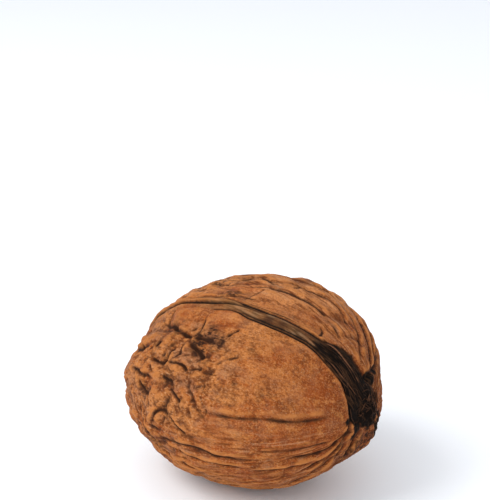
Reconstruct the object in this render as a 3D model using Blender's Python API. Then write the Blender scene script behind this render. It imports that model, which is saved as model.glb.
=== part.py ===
"""A whole walnut in its shell, lying on its side on a small flat spot.

The shell is one closed solid. Its form is worked out over the directions of a sphere: a smooth
egg, broad swells, a double-lipped seam all round, furrows that run from the stem to the tip,
wrinkles on the tip half, a blunt point at the tip and a rough scar at the stem.

Places on the shell are given in two angles. The station is measured from the stem end, 0 at the
stem and 180 at the tip. The bearing is measured round the long axis, 0 on the upper seam, minus
on the near cheek, plus on the far cheek and 180 on the lower seam.
"""

import itertools
import math
from dataclasses import dataclass

import bmesh
import bpy
import numpy as np
from mathutils import Matrix

MM = 0.001

# Driving dimensions, in millimetres
LENGTH = 40.0
THICKNESS = 34.8
WIDTH = 29.2
PROFILE_POWER = 0.95
STEM_FULLNESS = -0.01

# How the nut lies: the seam leans towards the near side, and the long axis is level
SEAM_LEAN_DEG = 22.5
REST_HEIGHT = 14.78
CENTRE_X = 0.342
CENTRE_Y = -0.087

# Flat spot under the nut: its middle and radius, and how far out and how high the pressing reaches
FOOT_PLACE = (0.26, -0.10)
FOOT_RADIUS = 3.4
FOOT_FADE = 6.8
FOOT_TOP = 5.0

# Facets: how many there are along each side of the cube that the sphere comes from, and how much
# closer together they lie at the seam
FACETS_A_SIDE = 30
SEAM_GATHER = 0.70
FINEST_WIDTH = 0.85

# Seam, in millimetres across and above the shell, towards the far cheek where the offset is plus
SEAM_RISE = 0.45
SEAM_HALF_WIDTH = 1.5
CRACK_OFFSET = 0.36
CRACK_DEPTH = 0.55
CRACK_WIDTH = 0.30
LIP_OFFSET = 0.88
LIP_HEIGHT = 0.22
LIP_WIDTH = 0.32
BORDER_OFFSET = -1.5
BORDER_DEPTH = 0.30
BORDER_WIDTH = 0.40
SEAM_WANDER = 0.35
WANDER_WAVE = 7.0
WANDER_REACH = 4.5

# Dry husk left along the upper seam at the stem: a low bed between two grooves
HUSK_END = (26, 56)
HUSK_MIDDLE = 0.3
HUSK_HALF_WIDTH = 2.5
HUSK_GROOVE_DEPTH = 0.55
HUSK_GROOVE_WIDTH = 0.65

# Tip and stem, in millimetres
TIP_HEIGHT = 1.15
TIP_RADIUS = 2.3
SCAR_RADIUS = 3.1
SCAR_DEPTH = 0.55
SCAR_KNOB = 0.75
SCAR_KNOB_RADIUS = 1.5

# Wrinkles: size of each wave and its height, in millimetres, and the smooth patch on the near belly
BROAD_WAVE = 11.0
BROAD_HEIGHT = 0.30
WRINKLE_WAVE = 4.4
WRINKLE_HEIGHT = 0.62
DIMPLE_WAVE = 2.4
DIMPLE_HEIGHT = 0.24
STEM_ROUGHNESS = 0.45
BELLY_PLACE = (52, -48)
BELLY_RADIUS = 11.0
SEED = 17

SHELL_COLOUR = (0.47, 0.21, 0.085, 1.0)
SHELL_ROUGHNESS = 0.62


@dataclass(frozen=True)
class Swell:
    """A broad rise, or a hollow where the height is negative."""

    station: float
    bearing: float
    radius: float
    height: float


@dataclass(frozen=True)
class Furrow:
    """A groove along a route of (station, bearing) points, with a raised shoulder on one side."""

    route: tuple
    width: float
    depth: float
    shoulder: float = 0.0


SWELLS = (
    Swell(17, 165, 5.0, 0.45),
    Swell(36, -178, 4.0, -0.50),
    Swell(26, 106, 5.5, -0.80),
    Swell(42, -150, 5.0, -0.60),
    Swell(60, -132, 7.0, -0.30),
    Swell(66, 59, 4.5, -0.50),
    Swell(82, -127, 8.0, -0.45),
    Swell(118, -110, 4.5, -0.30),
    Swell(136, -80, 8.0, 0.45),
    Swell(142, -60, 4.5, 0.25),
    Swell(140, 4, 8.5, -0.75),
    Swell(147, -30, 5.5, -0.40),
    Swell(78, 54, 7.5, 0.30),
    Swell(60, 64, 3.5, -0.30),
    Swell(50, -36, 8.0, 0.35),
    Swell(90, -168, 6.0, 0.50),
)

FURROWS = (
    # Near cheek, from the seam down
    Furrow(((78, -58), (66, -60), (55, -61), (42, -61), (30, -59), (20, -52)), 0.50, 0.45, 0.20),
    Furrow(((100, -80), (88, -84), (75, -87), (60, -87), (45, -87), (30, -87), (13, -78)), 0.45, 0.65, 0.22),
    Furrow(((96, -104), (80, -106), (64, -108), (48, -111), (32, -113), (18, -112)), 0.50, 0.60, 0.20),
    # Far cheek, from the seam up and over
    Furrow(((94, 12), (87, 21), (68, 24), (52, 25), (40, 25), (30, 22), (20, 15)), 0.45, 0.50, 0.18),
    Furrow(((100, 38), (75, 33), (60, 36), (45, 38), (30, 37), (17, 30)), 0.42, 0.55, 0.18),
    Furrow(((96, 54), (72, 48), (58, 49), (44, 51), (30, 52), (18, 46)), 0.42, 0.55, 0.18),
    Furrow(((60, 66), (48, 69), (36, 72), (26, 70), (18, 60), (12, 45)), 0.60, 0.70, 0.20),
    Furrow(((112, 84), (92, 88), (70, 92), (50, 94), (32, 96), (18, 92)), 0.50, 0.60, 0.20),
    Furrow(((104, 118), (82, 122), (60, 120), (40, 124), (22, 126)), 0.50, 0.60, 0.20),
    Furrow(((98, 148), (78, 151), (56, 148), (36, 152), (20, 156)), 0.45, 0.50, 0.16),
    # Under side
    Furrow(((102, -138), (80, -140), (58, -139), (38, -143), (22, -148)), 0.50, 0.50, 0.18),
    # Short cracks and hollows on the tip half
    Furrow(((114, -13), (111, -18), (107, -22), (102, -24)), 0.55, 0.60),
    Furrow(((90, -16), (85, -19), (80, -17)), 0.70, 0.50),
    Furrow(((94, -25), (90, -28), (86, -31)), 0.60, 0.60),
    Furrow(((108, -37), (103, -38), (98, -37), (94, -33)), 0.50, 0.55),
    Furrow(((103, -46), (99, -48), (95, -47)), 0.55, 0.55),
    Furrow(((120, -59), (117, -64), (113, -66)), 0.55, 0.50),
    Furrow(((113, -73), (109, -69), (105, -68), (102, -72)), 0.50, 0.50),
    Furrow(((95, -5), (94, -10), (93, -15), (96, -21), (100, -27), (104, -33)), 0.45, 0.35),
    Furrow(((113, -86), (108, -91), (103, -94), (96, -96)), 0.60, 0.60),
    Furrow(((152, -12), (143, -26), (135, -34), (127, -42)), 0.80, 0.60),
    Furrow(((150, 40), (138, 52), (126, 58), (114, 60)), 0.70, 0.60),
    Furrow(((152, 110), (140, 104), (128, 108), (116, 104)), 0.70, 0.60),
    Furrow(((148, 150), (134, 146), (120, 150)), 0.70, 0.55),
    Furrow(((152, -110), (140, -118), (128, -116), (116, -122)), 0.70, 0.60),
    Furrow(((146, -150), (132, -154), (118, -150)), 0.65, 0.55),
)


def egg_points(station, bearing):
    """The smooth egg: an ellipse along the nut, with a little more or less fullness at the stem."""
    reach = np.sin(station) ** PROFILE_POWER * (1 + STEM_FULLNESS * np.cos(station))
    return np.stack(
        [
            LENGTH / 2 * np.cos(station),
            THICKNESS / 2 * reach * np.sin(bearing),
            WIDTH / 2 * reach * np.cos(bearing),
        ],
        axis=-1,
    )


def egg_normals(points):
    """The outward directions of the ellipsoid that the egg is nearest to."""
    along = points / np.array([LENGTH / 2, THICKNESS / 2, WIDTH / 2]) ** 2
    return along / np.linalg.norm(along, axis=-1, keepdims=True)


def egg_place(station_deg, bearing_deg):
    """The point of the egg at one station and bearing, in degrees."""
    return egg_points(np.radians(float(station_deg)), np.radians(float(bearing_deg)))


def smooth_step(value, low, high):
    """0 below low, 1 above high and an S curve between."""
    t = np.clip((value - low) / (high - low), 0, 1)
    return t * t * (3 - 2 * t)


def bell(distance, width):
    """A hump that is 1 at no distance and about a third at one width."""
    return np.exp(-((distance / width) ** 2))


def lattice_noise(points, seed):
    """Smooth noise from about -1 to 1: random slopes at the corners of each unit cell, blended."""
    slopes = np.random.default_rng(seed).normal(size=(256, 3))
    slopes /= np.linalg.norm(slopes, axis=1, keepdims=True)
    order = np.random.default_rng(seed + 1).permutation(256)
    cell = np.floor(points).astype(np.int64)
    inside = points - cell
    fade = inside**3 * (inside * (inside * 6 - 15) + 10)
    total = np.zeros(len(points))
    for corner in itertools.product((0, 1), repeat=3):
        at = (cell + corner) & 255
        pick = order[(order[(order[at[:, 0]] + at[:, 1]) & 255] + at[:, 2]) & 255]
        share = np.prod(np.where(corner, fade, 1 - fade), axis=1)
        total += share * np.sum(slopes[pick] * (inside - corner), axis=1)
    return total * 1.6


def curve_through(route, samples):
    """Points of the egg along a smooth curve through a route of (station, bearing) in degrees."""
    stops = np.array(route, float)
    stops = np.vstack([2 * stops[0] - stops[1], stops, 2 * stops[-1] - stops[-2]])
    along = np.linspace(0, len(route) - 1 - 1e-6, samples)
    first = along.astype(int)
    t = (along - first)[:, None]
    a, b, c, d = (stops[first + step] for step in range(4))
    angles = b + t / 2 * (c - a + t * (2 * a - 5 * b + 4 * c - d + t * (3 * (b - c) + d - a)))
    return egg_points(np.radians(angles[:, 0]), np.radians(angles[:, 1]))


def furrow_height(furrow, points, normals):
    """How far one furrow lowers the shell: a bell across it, fading at its two ends."""
    line = curve_through(furrow.route, 12 * len(furrow.route))
    start, step = line[:-1], np.diff(line, axis=0)
    offset = points[:, None, :] - start[None]
    share = np.clip(np.einsum("psk,sk->ps", offset, step) / np.sum(step**2, axis=1), 0, 1)
    away = offset - share[..., None] * step
    distance = np.linalg.norm(away, axis=2)
    nearest = distance.argmin(axis=1)
    row = np.arange(len(points))
    distance = distance[row, nearest]
    travelled = (nearest + share[row, nearest]) / len(step)
    ends = smooth_step(travelled, 0, 0.16) * smooth_step(-travelled, -1, -0.84)
    side = np.sign(np.einsum("pk,pk->p", np.cross(normals, step[nearest]), away[row, nearest]))
    width = max(furrow.width, FINEST_WIDTH)
    groove = -furrow.depth * bell(distance, width)
    shoulder = furrow.shoulder * bell(distance - 2.2 * width, 1.5 * width) * (side > 0)
    return ends * (groove + shoulder)


def seam_height(across):
    """Rise of the seam: a low band with a crack, a lip beyond the crack and a groove on the near side."""
    band = SEAM_RISE * bell(across, SEAM_HALF_WIDTH)
    crack = -CRACK_DEPTH * bell(across - CRACK_OFFSET, CRACK_WIDTH)
    lip = LIP_HEIGHT * bell(across - LIP_OFFSET, LIP_WIDTH)
    border = -BORDER_DEPTH * bell(across - BORDER_OFFSET, BORDER_WIDTH)
    return band + crack + lip + border


def husk_height(points, station):
    """Grooves on both sides of the husk bed, closing in on the seam where the husk ends."""
    left = (points[:, 2] > 0) * (1 - smooth_step(np.degrees(station), *HUSK_END))
    from_middle = np.abs(points[:, 1] - HUSK_MIDDLE)
    return -HUSK_GROOVE_DEPTH * left * bell(from_middle - HUSK_HALF_WIDTH, HUSK_GROOVE_WIDTH)


def seam_wander(points):
    """How far the seam runs to one side of its plane, as a sideways move of the shell round it."""
    half = np.sign(points[:, 2]) * smooth_step(np.abs(points[:, 2]), 0, 4)
    wave = lattice_noise(np.stack([points[:, 0] / WANDER_WAVE, half, 0 * half], axis=1), 5)
    return SEAM_WANDER * wave * bell(points[:, 1], WANDER_REACH)


def end_height(points):
    """Rise at the two ends: a blunt point at the tip, and a rough hollow with a knob at the stem."""
    from_axis = np.hypot(points[:, 1], points[:, 2])
    tip = TIP_HEIGHT * bell(from_axis, TIP_RADIUS) * (points[:, 0] < 0)
    rough = 1 + 0.5 * lattice_noise(points / 0.9, 31)
    scar = -SCAR_DEPTH * bell(from_axis, SCAR_RADIUS) + SCAR_KNOB * bell(from_axis, SCAR_KNOB_RADIUS) * rough
    return tip + scar * (points[:, 0] > 0)


def wrinkle_height(points, station):
    """Lumps with creases between them: strong on the tip half, low on the rest, least on the near belly."""
    rough = STEM_ROUGHNESS + (1 - STEM_ROUGHNESS) * smooth_step(np.degrees(station), 66, 108)
    smooth_belly = 1 - 0.75 * bell(np.linalg.norm(points - egg_place(*BELLY_PLACE), axis=1), BELLY_RADIUS)
    clear_of_seam = 1 - 0.8 * bell(points[:, 1], 2.2)
    stretched = points * np.array([0.62, 1.0, 1.0])
    warp = 0.35 * np.stack([lattice_noise(points / 5.0, SEED + k) for k in range(3)], axis=1)
    broad = BROAD_HEIGHT * lattice_noise(points / BROAD_WAVE, SEED)
    lumps = np.minimum(2.4 * np.abs(lattice_noise(stretched / WRINKLE_WAVE + warp, SEED + 7)), 1) - 0.6
    dimples = lattice_noise(stretched / DIMPLE_WAVE + warp, SEED + 11)
    fine = WRINKLE_HEIGHT * lumps + DIMPLE_HEIGHT * dimples
    return broad + rough * smooth_belly * clear_of_seam * fine


def shell_points(directions):
    """The shell's surface point in each direction, in the nut's own frame, in millimetres."""
    station = np.arccos(np.clip(directions[:, 0], -1, 1))
    bearing = np.arctan2(directions[:, 1], directions[:, 2])
    points = egg_points(station, bearing)
    normals = egg_normals(points)
    height = seam_height(points[:, 1]) + husk_height(points, station)
    height += end_height(points) + wrinkle_height(points, station)
    for swell in SWELLS:
        middle = egg_place(swell.station, swell.bearing)
        height += swell.height * bell(np.linalg.norm(points - middle, axis=1), swell.radius)
    for furrow in FURROWS:
        height += furrow_height(furrow, points, normals)
    surface = points + normals * height[:, None]
    surface[:, 1] += seam_wander(points)
    return surface


def laid_down(points):
    """The nut leaned over and set down, its underside pressed into a small flat spot."""
    lean = np.array(Matrix.Rotation(math.radians(SEAM_LEAN_DEG), 3, "X"))
    placed = points @ lean.T + np.array([CENTRE_X, CENTRE_Y, REST_HEIGHT])
    from_foot = np.hypot(placed[:, 0] - FOOT_PLACE[0], placed[:, 1] - FOOT_PLACE[1])
    pressed = placed[:, 2] * smooth_step(from_foot, FOOT_RADIUS, FOOT_FADE)
    placed[:, 2] = np.where(placed[:, 2] < FOOT_TOP, np.maximum(pressed, 0), placed[:, 2])
    return placed


def sphere_directions(cube):
    """Directions evenly spread from the points of a cube, in rows along the seam, closest at the seam."""
    spread = np.tan(cube * math.pi / 4)
    even = spread / np.linalg.norm(spread, axis=1, keepdims=True)
    row = cube[:, 1]
    row = row * (1 - SEAM_GATHER * (1 - np.abs(row)) ** 2)
    apart = (1 - row**2) * row * math.pi / 4 + row**2 * np.arcsin(np.clip(even[:, 1], -1, 1))
    round_seam = np.arctan2(even[:, 2], even[:, 0])
    return np.stack(
        [np.cos(apart) * np.cos(round_seam), np.sin(apart), np.cos(apart) * np.sin(round_seam)],
        axis=1,
    )


def shell_material():
    """Plain brown shell."""
    material = bpy.data.materials.new("shell")
    material.use_nodes = True
    surface = material.node_tree.nodes["Principled BSDF"]
    surface.inputs["Base Color"].default_value = SHELL_COLOUR
    surface.inputs["Roughness"].default_value = SHELL_ROUGHNESS
    surface.inputs["Metallic"].default_value = 0.0
    return material


def build_walnut():
    """Cuts a cube finely, and moves each of its points onto the shell."""
    shape = bmesh.new()
    bmesh.ops.create_cube(shape, size=2.0)
    bmesh.ops.subdivide_edges(shape, edges=shape.edges, cuts=FACETS_A_SIDE - 1, use_grid_fill=True)
    mesh = bpy.data.meshes.new("walnut")
    shape.to_mesh(mesh)
    shape.free()
    cube = np.empty(len(mesh.vertices) * 3, np.float32)
    mesh.vertices.foreach_get("co", cube)
    directions = sphere_directions(cube.reshape(-1, 3).astype(float))
    surface = laid_down(shell_points(directions)) * MM
    mesh.vertices.foreach_set("co", surface.astype(np.float32).ravel())
    mesh.update()
    mesh.shade_smooth()
    mesh.materials.append(shell_material())
    walnut = bpy.data.objects.new("walnut", mesh)
    bpy.context.scene.collection.objects.link(walnut)
    return walnut


def main():
    """Clears the scene and builds the nut."""
    for old in list(bpy.data.objects):
        bpy.data.objects.remove(old)
    build_walnut()


main()
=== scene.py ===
"""The dressed walnut: a fine shell over the frame's solid, dry husk fibres, a pale floor and soft light.

Places on the shell are given in two angles. The station is measured from the stem end, 0 at the
stem and 180 at the tip. The bearing is measured round the long axis, 0 on the upper seam, minus on
the near cheek, plus on the far cheek and 180 on the lower seam. Lengths are in millimetres until a
mesh is made.
"""

import itertools
import logging
import math
from dataclasses import dataclass, field
from enum import Enum
from typing import Union

import bpy
import numpy as np
from mathutils import Matrix, Vector


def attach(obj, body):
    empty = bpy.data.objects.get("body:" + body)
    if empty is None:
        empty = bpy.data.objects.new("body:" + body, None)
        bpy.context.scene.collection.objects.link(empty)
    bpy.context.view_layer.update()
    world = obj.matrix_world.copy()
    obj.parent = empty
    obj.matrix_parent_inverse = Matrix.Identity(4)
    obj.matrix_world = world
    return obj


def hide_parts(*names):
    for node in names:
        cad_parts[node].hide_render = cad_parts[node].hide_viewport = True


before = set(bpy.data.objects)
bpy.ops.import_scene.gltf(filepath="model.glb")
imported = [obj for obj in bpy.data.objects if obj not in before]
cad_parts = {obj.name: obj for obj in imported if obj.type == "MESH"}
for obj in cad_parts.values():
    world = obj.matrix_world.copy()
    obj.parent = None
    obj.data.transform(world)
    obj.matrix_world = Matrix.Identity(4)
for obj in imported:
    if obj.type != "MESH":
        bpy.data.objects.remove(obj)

Array = np.ndarray
Node = bpy.types.Node
Socket = bpy.types.NodeSocket
Feed = Union[Socket, float, tuple]
Colour = tuple[float, float, float]
Place = tuple[float, float, float]
Knots = tuple[tuple[float, float], ...]

MM = 0.001
FAR_AWAY = 9.0
FRAY_SEED = 91
NOISE_GAIN = 1.6
PHOTO_WIDTH, PHOTO_HEIGHT = 490, 500
LOG = logging.getLogger("walnut")
SEAM_INKS = ("seam_far", "seam_tip", "seam_near", "seam_inner", "seam_twin")


def smooth_step(value: Array, low: float, high: float) -> Array:
    """An S curve from 0 at low to 1 at high: t squared times (3 - 2t).

    Args:
        value: What the curve runs over.
        low: Where it leaves 0.
        high: Where it reaches 1.

    Returns:
        The curve's value at each point.
    """
    t = np.clip((value - low) / (high - low), 0, 1)
    return t * t * (3 - 2 * t)


def bell(distance: Array, width: float) -> Array:
    """A hump: e to the minus (distance / width) squared.

    Args:
        distance: How far each point is from the middle of the hump.
        width: Where the hump has fallen to about a third.

    Returns:
        The hump's height, 1 in the middle.
    """
    return np.exp(-((distance / width) ** 2))


def between(value: Array, knots: Knots) -> Array:
    """Straight lines through pairs of (place, value), level before the first and after the last."""
    return np.interp(value, *zip(*knots))


def lattice_noise(points: Array, seed: int) -> Array:
    """Smooth noise: a random slope at each corner of a unit cell, blended inside it.

    Args:
        points: Places in units of the noise's own wave.
        seed: Picks the slopes.

    Returns:
        A value from about -1 to 1 at each place.
    """
    slopes = np.random.default_rng(seed).normal(size=(256, 3))
    slopes /= np.linalg.norm(slopes, axis=1, keepdims=True)
    order = np.random.default_rng(seed + 1).permutation(256)
    cell = np.floor(points).astype(np.int64)
    inside = points - cell
    fade = inside**3 * (inside * (inside * 6 - 15) + 10)
    total = np.zeros(len(points))
    for corner in itertools.product((0, 1), repeat=3):
        at = (cell + corner) & 255
        pick = order[(order[(order[at[:, 0]] + at[:, 1]) & 255] + at[:, 2]) & 255]
        share = np.prod(np.where(corner, fade, 1 - fade), axis=1)
        total += share * np.sum(slopes[pick] * (inside - corner), axis=1)
    return total * NOISE_GAIN


def curve(stops: Array, count: int) -> Array:
    """A smooth curve through its stops (Catmull-Rom), with the ends drawn on past the outer stops.

    Args:
        stops: The places it goes through, one a row.
        count: How many points to make.

    Returns:
        The points, evenly shared out between the stops.
    """
    ends = np.vstack([2 * stops[0] - stops[1], stops, 2 * stops[-1] - stops[-2]])
    along = np.linspace(0, len(stops) - 1 - 1e-6, count)
    first = along.astype(int)
    share = (along - first)[:, None]
    before, start, end, after = (ends[first + step] for step in range(4))
    bend = 3 * (start - end) + after - before
    bend = 2 * before - 5 * start + 4 * end - after + share * bend
    return start + share / 2 * (end - before + share * bend)


@dataclass(frozen=True)
class Egg:
    """The smooth form under all the relief: an ellipse along the nut, and another across it."""

    length: float = 40.0
    thickness: float = 34.8
    width: float = 29.2
    profile_power: float = 0.95
    stem_fullness: float = -0.01

    def points(self, station: Array, bearing: Array) -> Array:
        """Half the length times cos(station) along; half of each side times sin(station) to a power across.

        Args:
            station: Angles from the stem end, in radians.
            bearing: Angles round the long axis, in radians.

        Returns:
            The points of the egg.
        """
        reach = np.sin(station) ** self.profile_power * (1 + self.stem_fullness * np.cos(station))
        return np.stack(
            [
                self.length / 2 * np.cos(station),
                self.thickness / 2 * reach * np.sin(bearing),
                self.width / 2 * reach * np.cos(bearing),
            ],
            axis=-1,
        )

    def normals(self, points: Array) -> Array:
        """Each point divided by its half side squared, made one long.

        Args:
            points: Points of the egg.

        Returns:
            The outward directions there.
        """
        along = points / np.array([self.length / 2, self.thickness / 2, self.width / 2]) ** 2
        return along / np.linalg.norm(along, axis=-1, keepdims=True)

    def place(self, station: float, bearing: float) -> Array:
        """The point at one station and bearing, in degrees."""
        return self.points(np.radians(float(station)), np.radians(float(bearing)))

    def angles_at(self, across: Array, up: Array) -> tuple[Array, Array]:
        """The angles of points on the stem half, seen from the end: the egg's formula turned round.

        Args:
            across: How far each point is towards the far cheek.
            up: How far it is towards the upper seam.

        Returns:
            Their stations and bearings, in degrees.
        """
        y, z = across / (self.thickness / 2), up / (self.width / 2)
        reach = np.clip(np.hypot(y, z), 0, 0.98)
        return np.degrees(np.arcsin(reach ** (1 / self.profile_power))), np.degrees(np.arctan2(y, z))


@dataclass(frozen=True)
class Lie:
    """How the nut lies on the floor: leaned over to the near side, level, on a small flat spot."""

    seam_lean_deg: float = 22.5
    rest_height: float = 14.78
    centre_x: float = 0.342
    centre_y: float = -0.087
    foot_place: tuple[float, float] = (0.26, -0.10)
    foot_radius: float = 3.4
    foot_fade: float = 6.8
    foot_top: float = 5.0

    def turn(self) -> Array:
        """The turn about the long axis, as a 3 by 3 array."""
        return np.array(Matrix.Rotation(math.radians(self.seam_lean_deg), 3, "X"))

    def centre(self) -> Array:
        """Where the middle of the nut is above the floor."""
        return np.array([self.centre_x, self.centre_y, self.rest_height])

    def laid(self, points: Array) -> Array:
        """Turns points of the nut, lifts them to its place, and presses the underside into its flat spot.

        Args:
            points: Points in the nut's own frame.

        Returns:
            The points in the row frame.
        """
        placed = points @ self.turn().T + self.centre()
        from_foot = np.hypot(placed[:, 0] - self.foot_place[0], placed[:, 1] - self.foot_place[1])
        pressed = placed[:, 2] * smooth_step(from_foot, self.foot_radius, self.foot_fade)
        placed[:, 2] = np.where(placed[:, 2] < self.foot_top, np.maximum(pressed, 0), placed[:, 2])
        return placed


@dataclass
class Skin:
    """The points of the shell that the relief is worked out for."""

    egg: Egg
    station: Array
    bearing: Array
    points: Array = field(init=False)
    normals: Array = field(init=False)

    def __post_init__(self) -> None:
        """Works out the egg's points and outward directions; the angles come in degrees."""
        self.points = self.egg.points(np.radians(self.station), np.radians(self.bearing))
        self.normals = self.egg.normals(self.points)

    @property
    def across(self) -> Array:
        """How far each point is from the seam's plane, plus towards the far cheek."""
        return self.points[:, 1]

    @property
    def upper(self) -> Array:
        """1 on the upper half and 0 on the lower."""
        return smooth_step(self.points[:, 2], -1.0, 1.0)

    @property
    def along(self) -> Array:
        """How far each point is from the stem end, round the nut."""
        return np.radians(self.station) * self.egg.length / 2

    def near(self, station: float, bearing: float, radius: float) -> Array:
        """A bell round one place, over straight distances.

        Args:
            station: The place's station, in degrees.
            bearing: The place's bearing, in degrees.
            radius: The bell's width.

        Returns:
            The bell's height at each point.
        """
        away = np.linalg.norm(self.points - self.egg.place(station, bearing), axis=1)
        return bell(away, radius)

    def meridian(self, stretch: float, reach: float = 15.0) -> Array:
        """Places for a pattern that runs from stem to tip: the station unrolled, on a barrel round the axis.

        Args:
            stretch: How much longer than wide the pattern is.
            reach: The barrel's radius.

        Returns:
            Three numbers for each point, in millimetres.
        """
        angle = np.radians(self.bearing)
        return np.stack([self.along / stretch, reach * np.sin(angle), reach * np.cos(angle)], axis=1)

    def seam_flow(self, stretch: float) -> Array:
        """Places for a pattern that runs along the seam: the distance along it, and across it."""
        half = FAR_AWAY * np.sign(self.points[:, 2])
        return np.stack([self.along / stretch, self.across, half], axis=1)


@dataclass(frozen=True)
class Swell:
    """A broad rise, or a hollow where the height is negative."""

    station: float
    bearing: float
    radius: float
    height: float


@dataclass(frozen=True)
class Furrow:
    """A groove along a route of (station, bearing) points, with a raised shoulder on one side."""

    route: tuple[tuple[float, float], ...]
    width: float
    depth: float
    shoulder: float = 0.0
    # How dark the line along the groove is drawn: its own dark line and painted shade in the groove
    shade_and_stain: float = 0.6
    ink: float = 0.22
    fray: float = 0.7
    fray_wave: float = 1.7
    sharp_share: float = 0.15
    sharp_width: float = 0.18

    def line(self, egg: Egg) -> Array:
        """Points along a smooth curve through the route (Catmull-Rom in the two angles).

        Args:
            egg: The form that the route lies on.

        Returns:
            Twelve points for each stop.
        """
        angles = curve(np.array(self.route, float), 12 * len(self.route))
        return egg.points(np.radians(angles[:, 0]), np.radians(angles[:, 1]))

    def cut(self, skin: Skin) -> tuple[Array, Array, Array]:
        """Lowers the points near the line: a bell across it, a sharper floor and a shoulder beside it.

        Args:
            skin: The points of the shell.

        Returns:
            The change of height, the signed distance to the line in widths of its ink, and how dark it is
            drawn there: its dark line and painted shade in the groove.
        """
        line = self.line(skin.egg)
        height, signed = np.zeros(len(skin.points)), np.full(len(skin.points), FAR_AWAY)
        shaded_and_stained = np.zeros(len(skin.points))
        reach = 4 * self.width + 1.0
        low, high = line.min(axis=0) - reach, line.max(axis=0) + reach
        close = np.flatnonzero(np.all((skin.points > low) & (skin.points < high), axis=1))
        start, step = line[:-1], np.diff(line, axis=0)
        offset = skin.points[close, None, :] - start[None]
        share = np.clip(np.einsum("psk,sk->ps", offset, step) / np.sum(step**2, axis=1), 0, 1)
        away = offset - share[..., None] * step
        distance = np.linalg.norm(away, axis=2)
        nearest = distance.argmin(axis=1)
        row = np.arange(len(close))
        distance = distance[row, nearest]
        travelled = (nearest + share[row, nearest]) / len(step)
        patchy = 1 + self.fray * lattice_noise(skin.points[close] / self.fray_wave, FRAY_SEED)
        ends = smooth_step(travelled, 0, 0.16) * smooth_step(-travelled, -1, -0.84) * patchy
        across = np.cross(skin.normals[close], step[nearest])
        side = np.sign(np.einsum("pk,pk->p", across, away[row, nearest]))
        sharp = self.sharp_share * self.depth * bell(distance, self.sharp_width)
        groove = self.depth * bell(distance, self.width) + sharp
        shoulder = self.shoulder * bell(distance - 2.2 * self.width, 1.5 * self.width) * (side > 0)
        height[close] = ends * (shoulder - groove)
        signed[close] = np.where(distance < reach, side * distance / self.ink, FAR_AWAY)
        shaded_and_stained[close] = np.clip(ends * self.shade_and_stain, 0, 1)
        return height, signed, shaded_and_stained


@dataclass(frozen=True)
class SeamLine:
    """A thin line along the upper seam, drawn near black as painted shade in its groove: its distance from
    the seam's plane and its strength by station.
    """

    offset: Knots
    strength: Knots
    depth: float
    width: float
    ink: float

    def gap(self, skin: Skin) -> Array:
        """How far each point is from the line, across the seam."""
        return skin.across - between(skin.station, self.offset)

    def drawn(self, skin: Skin) -> Array:
        """How strong the line is at each point's station, on the upper half only."""
        return between(skin.station, self.strength) * skin.upper

    def height(self, skin: Skin) -> Array:
        """A narrow groove along the line."""
        return -self.depth * self.drawn(skin) * bell(self.gap(skin), self.width)


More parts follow.
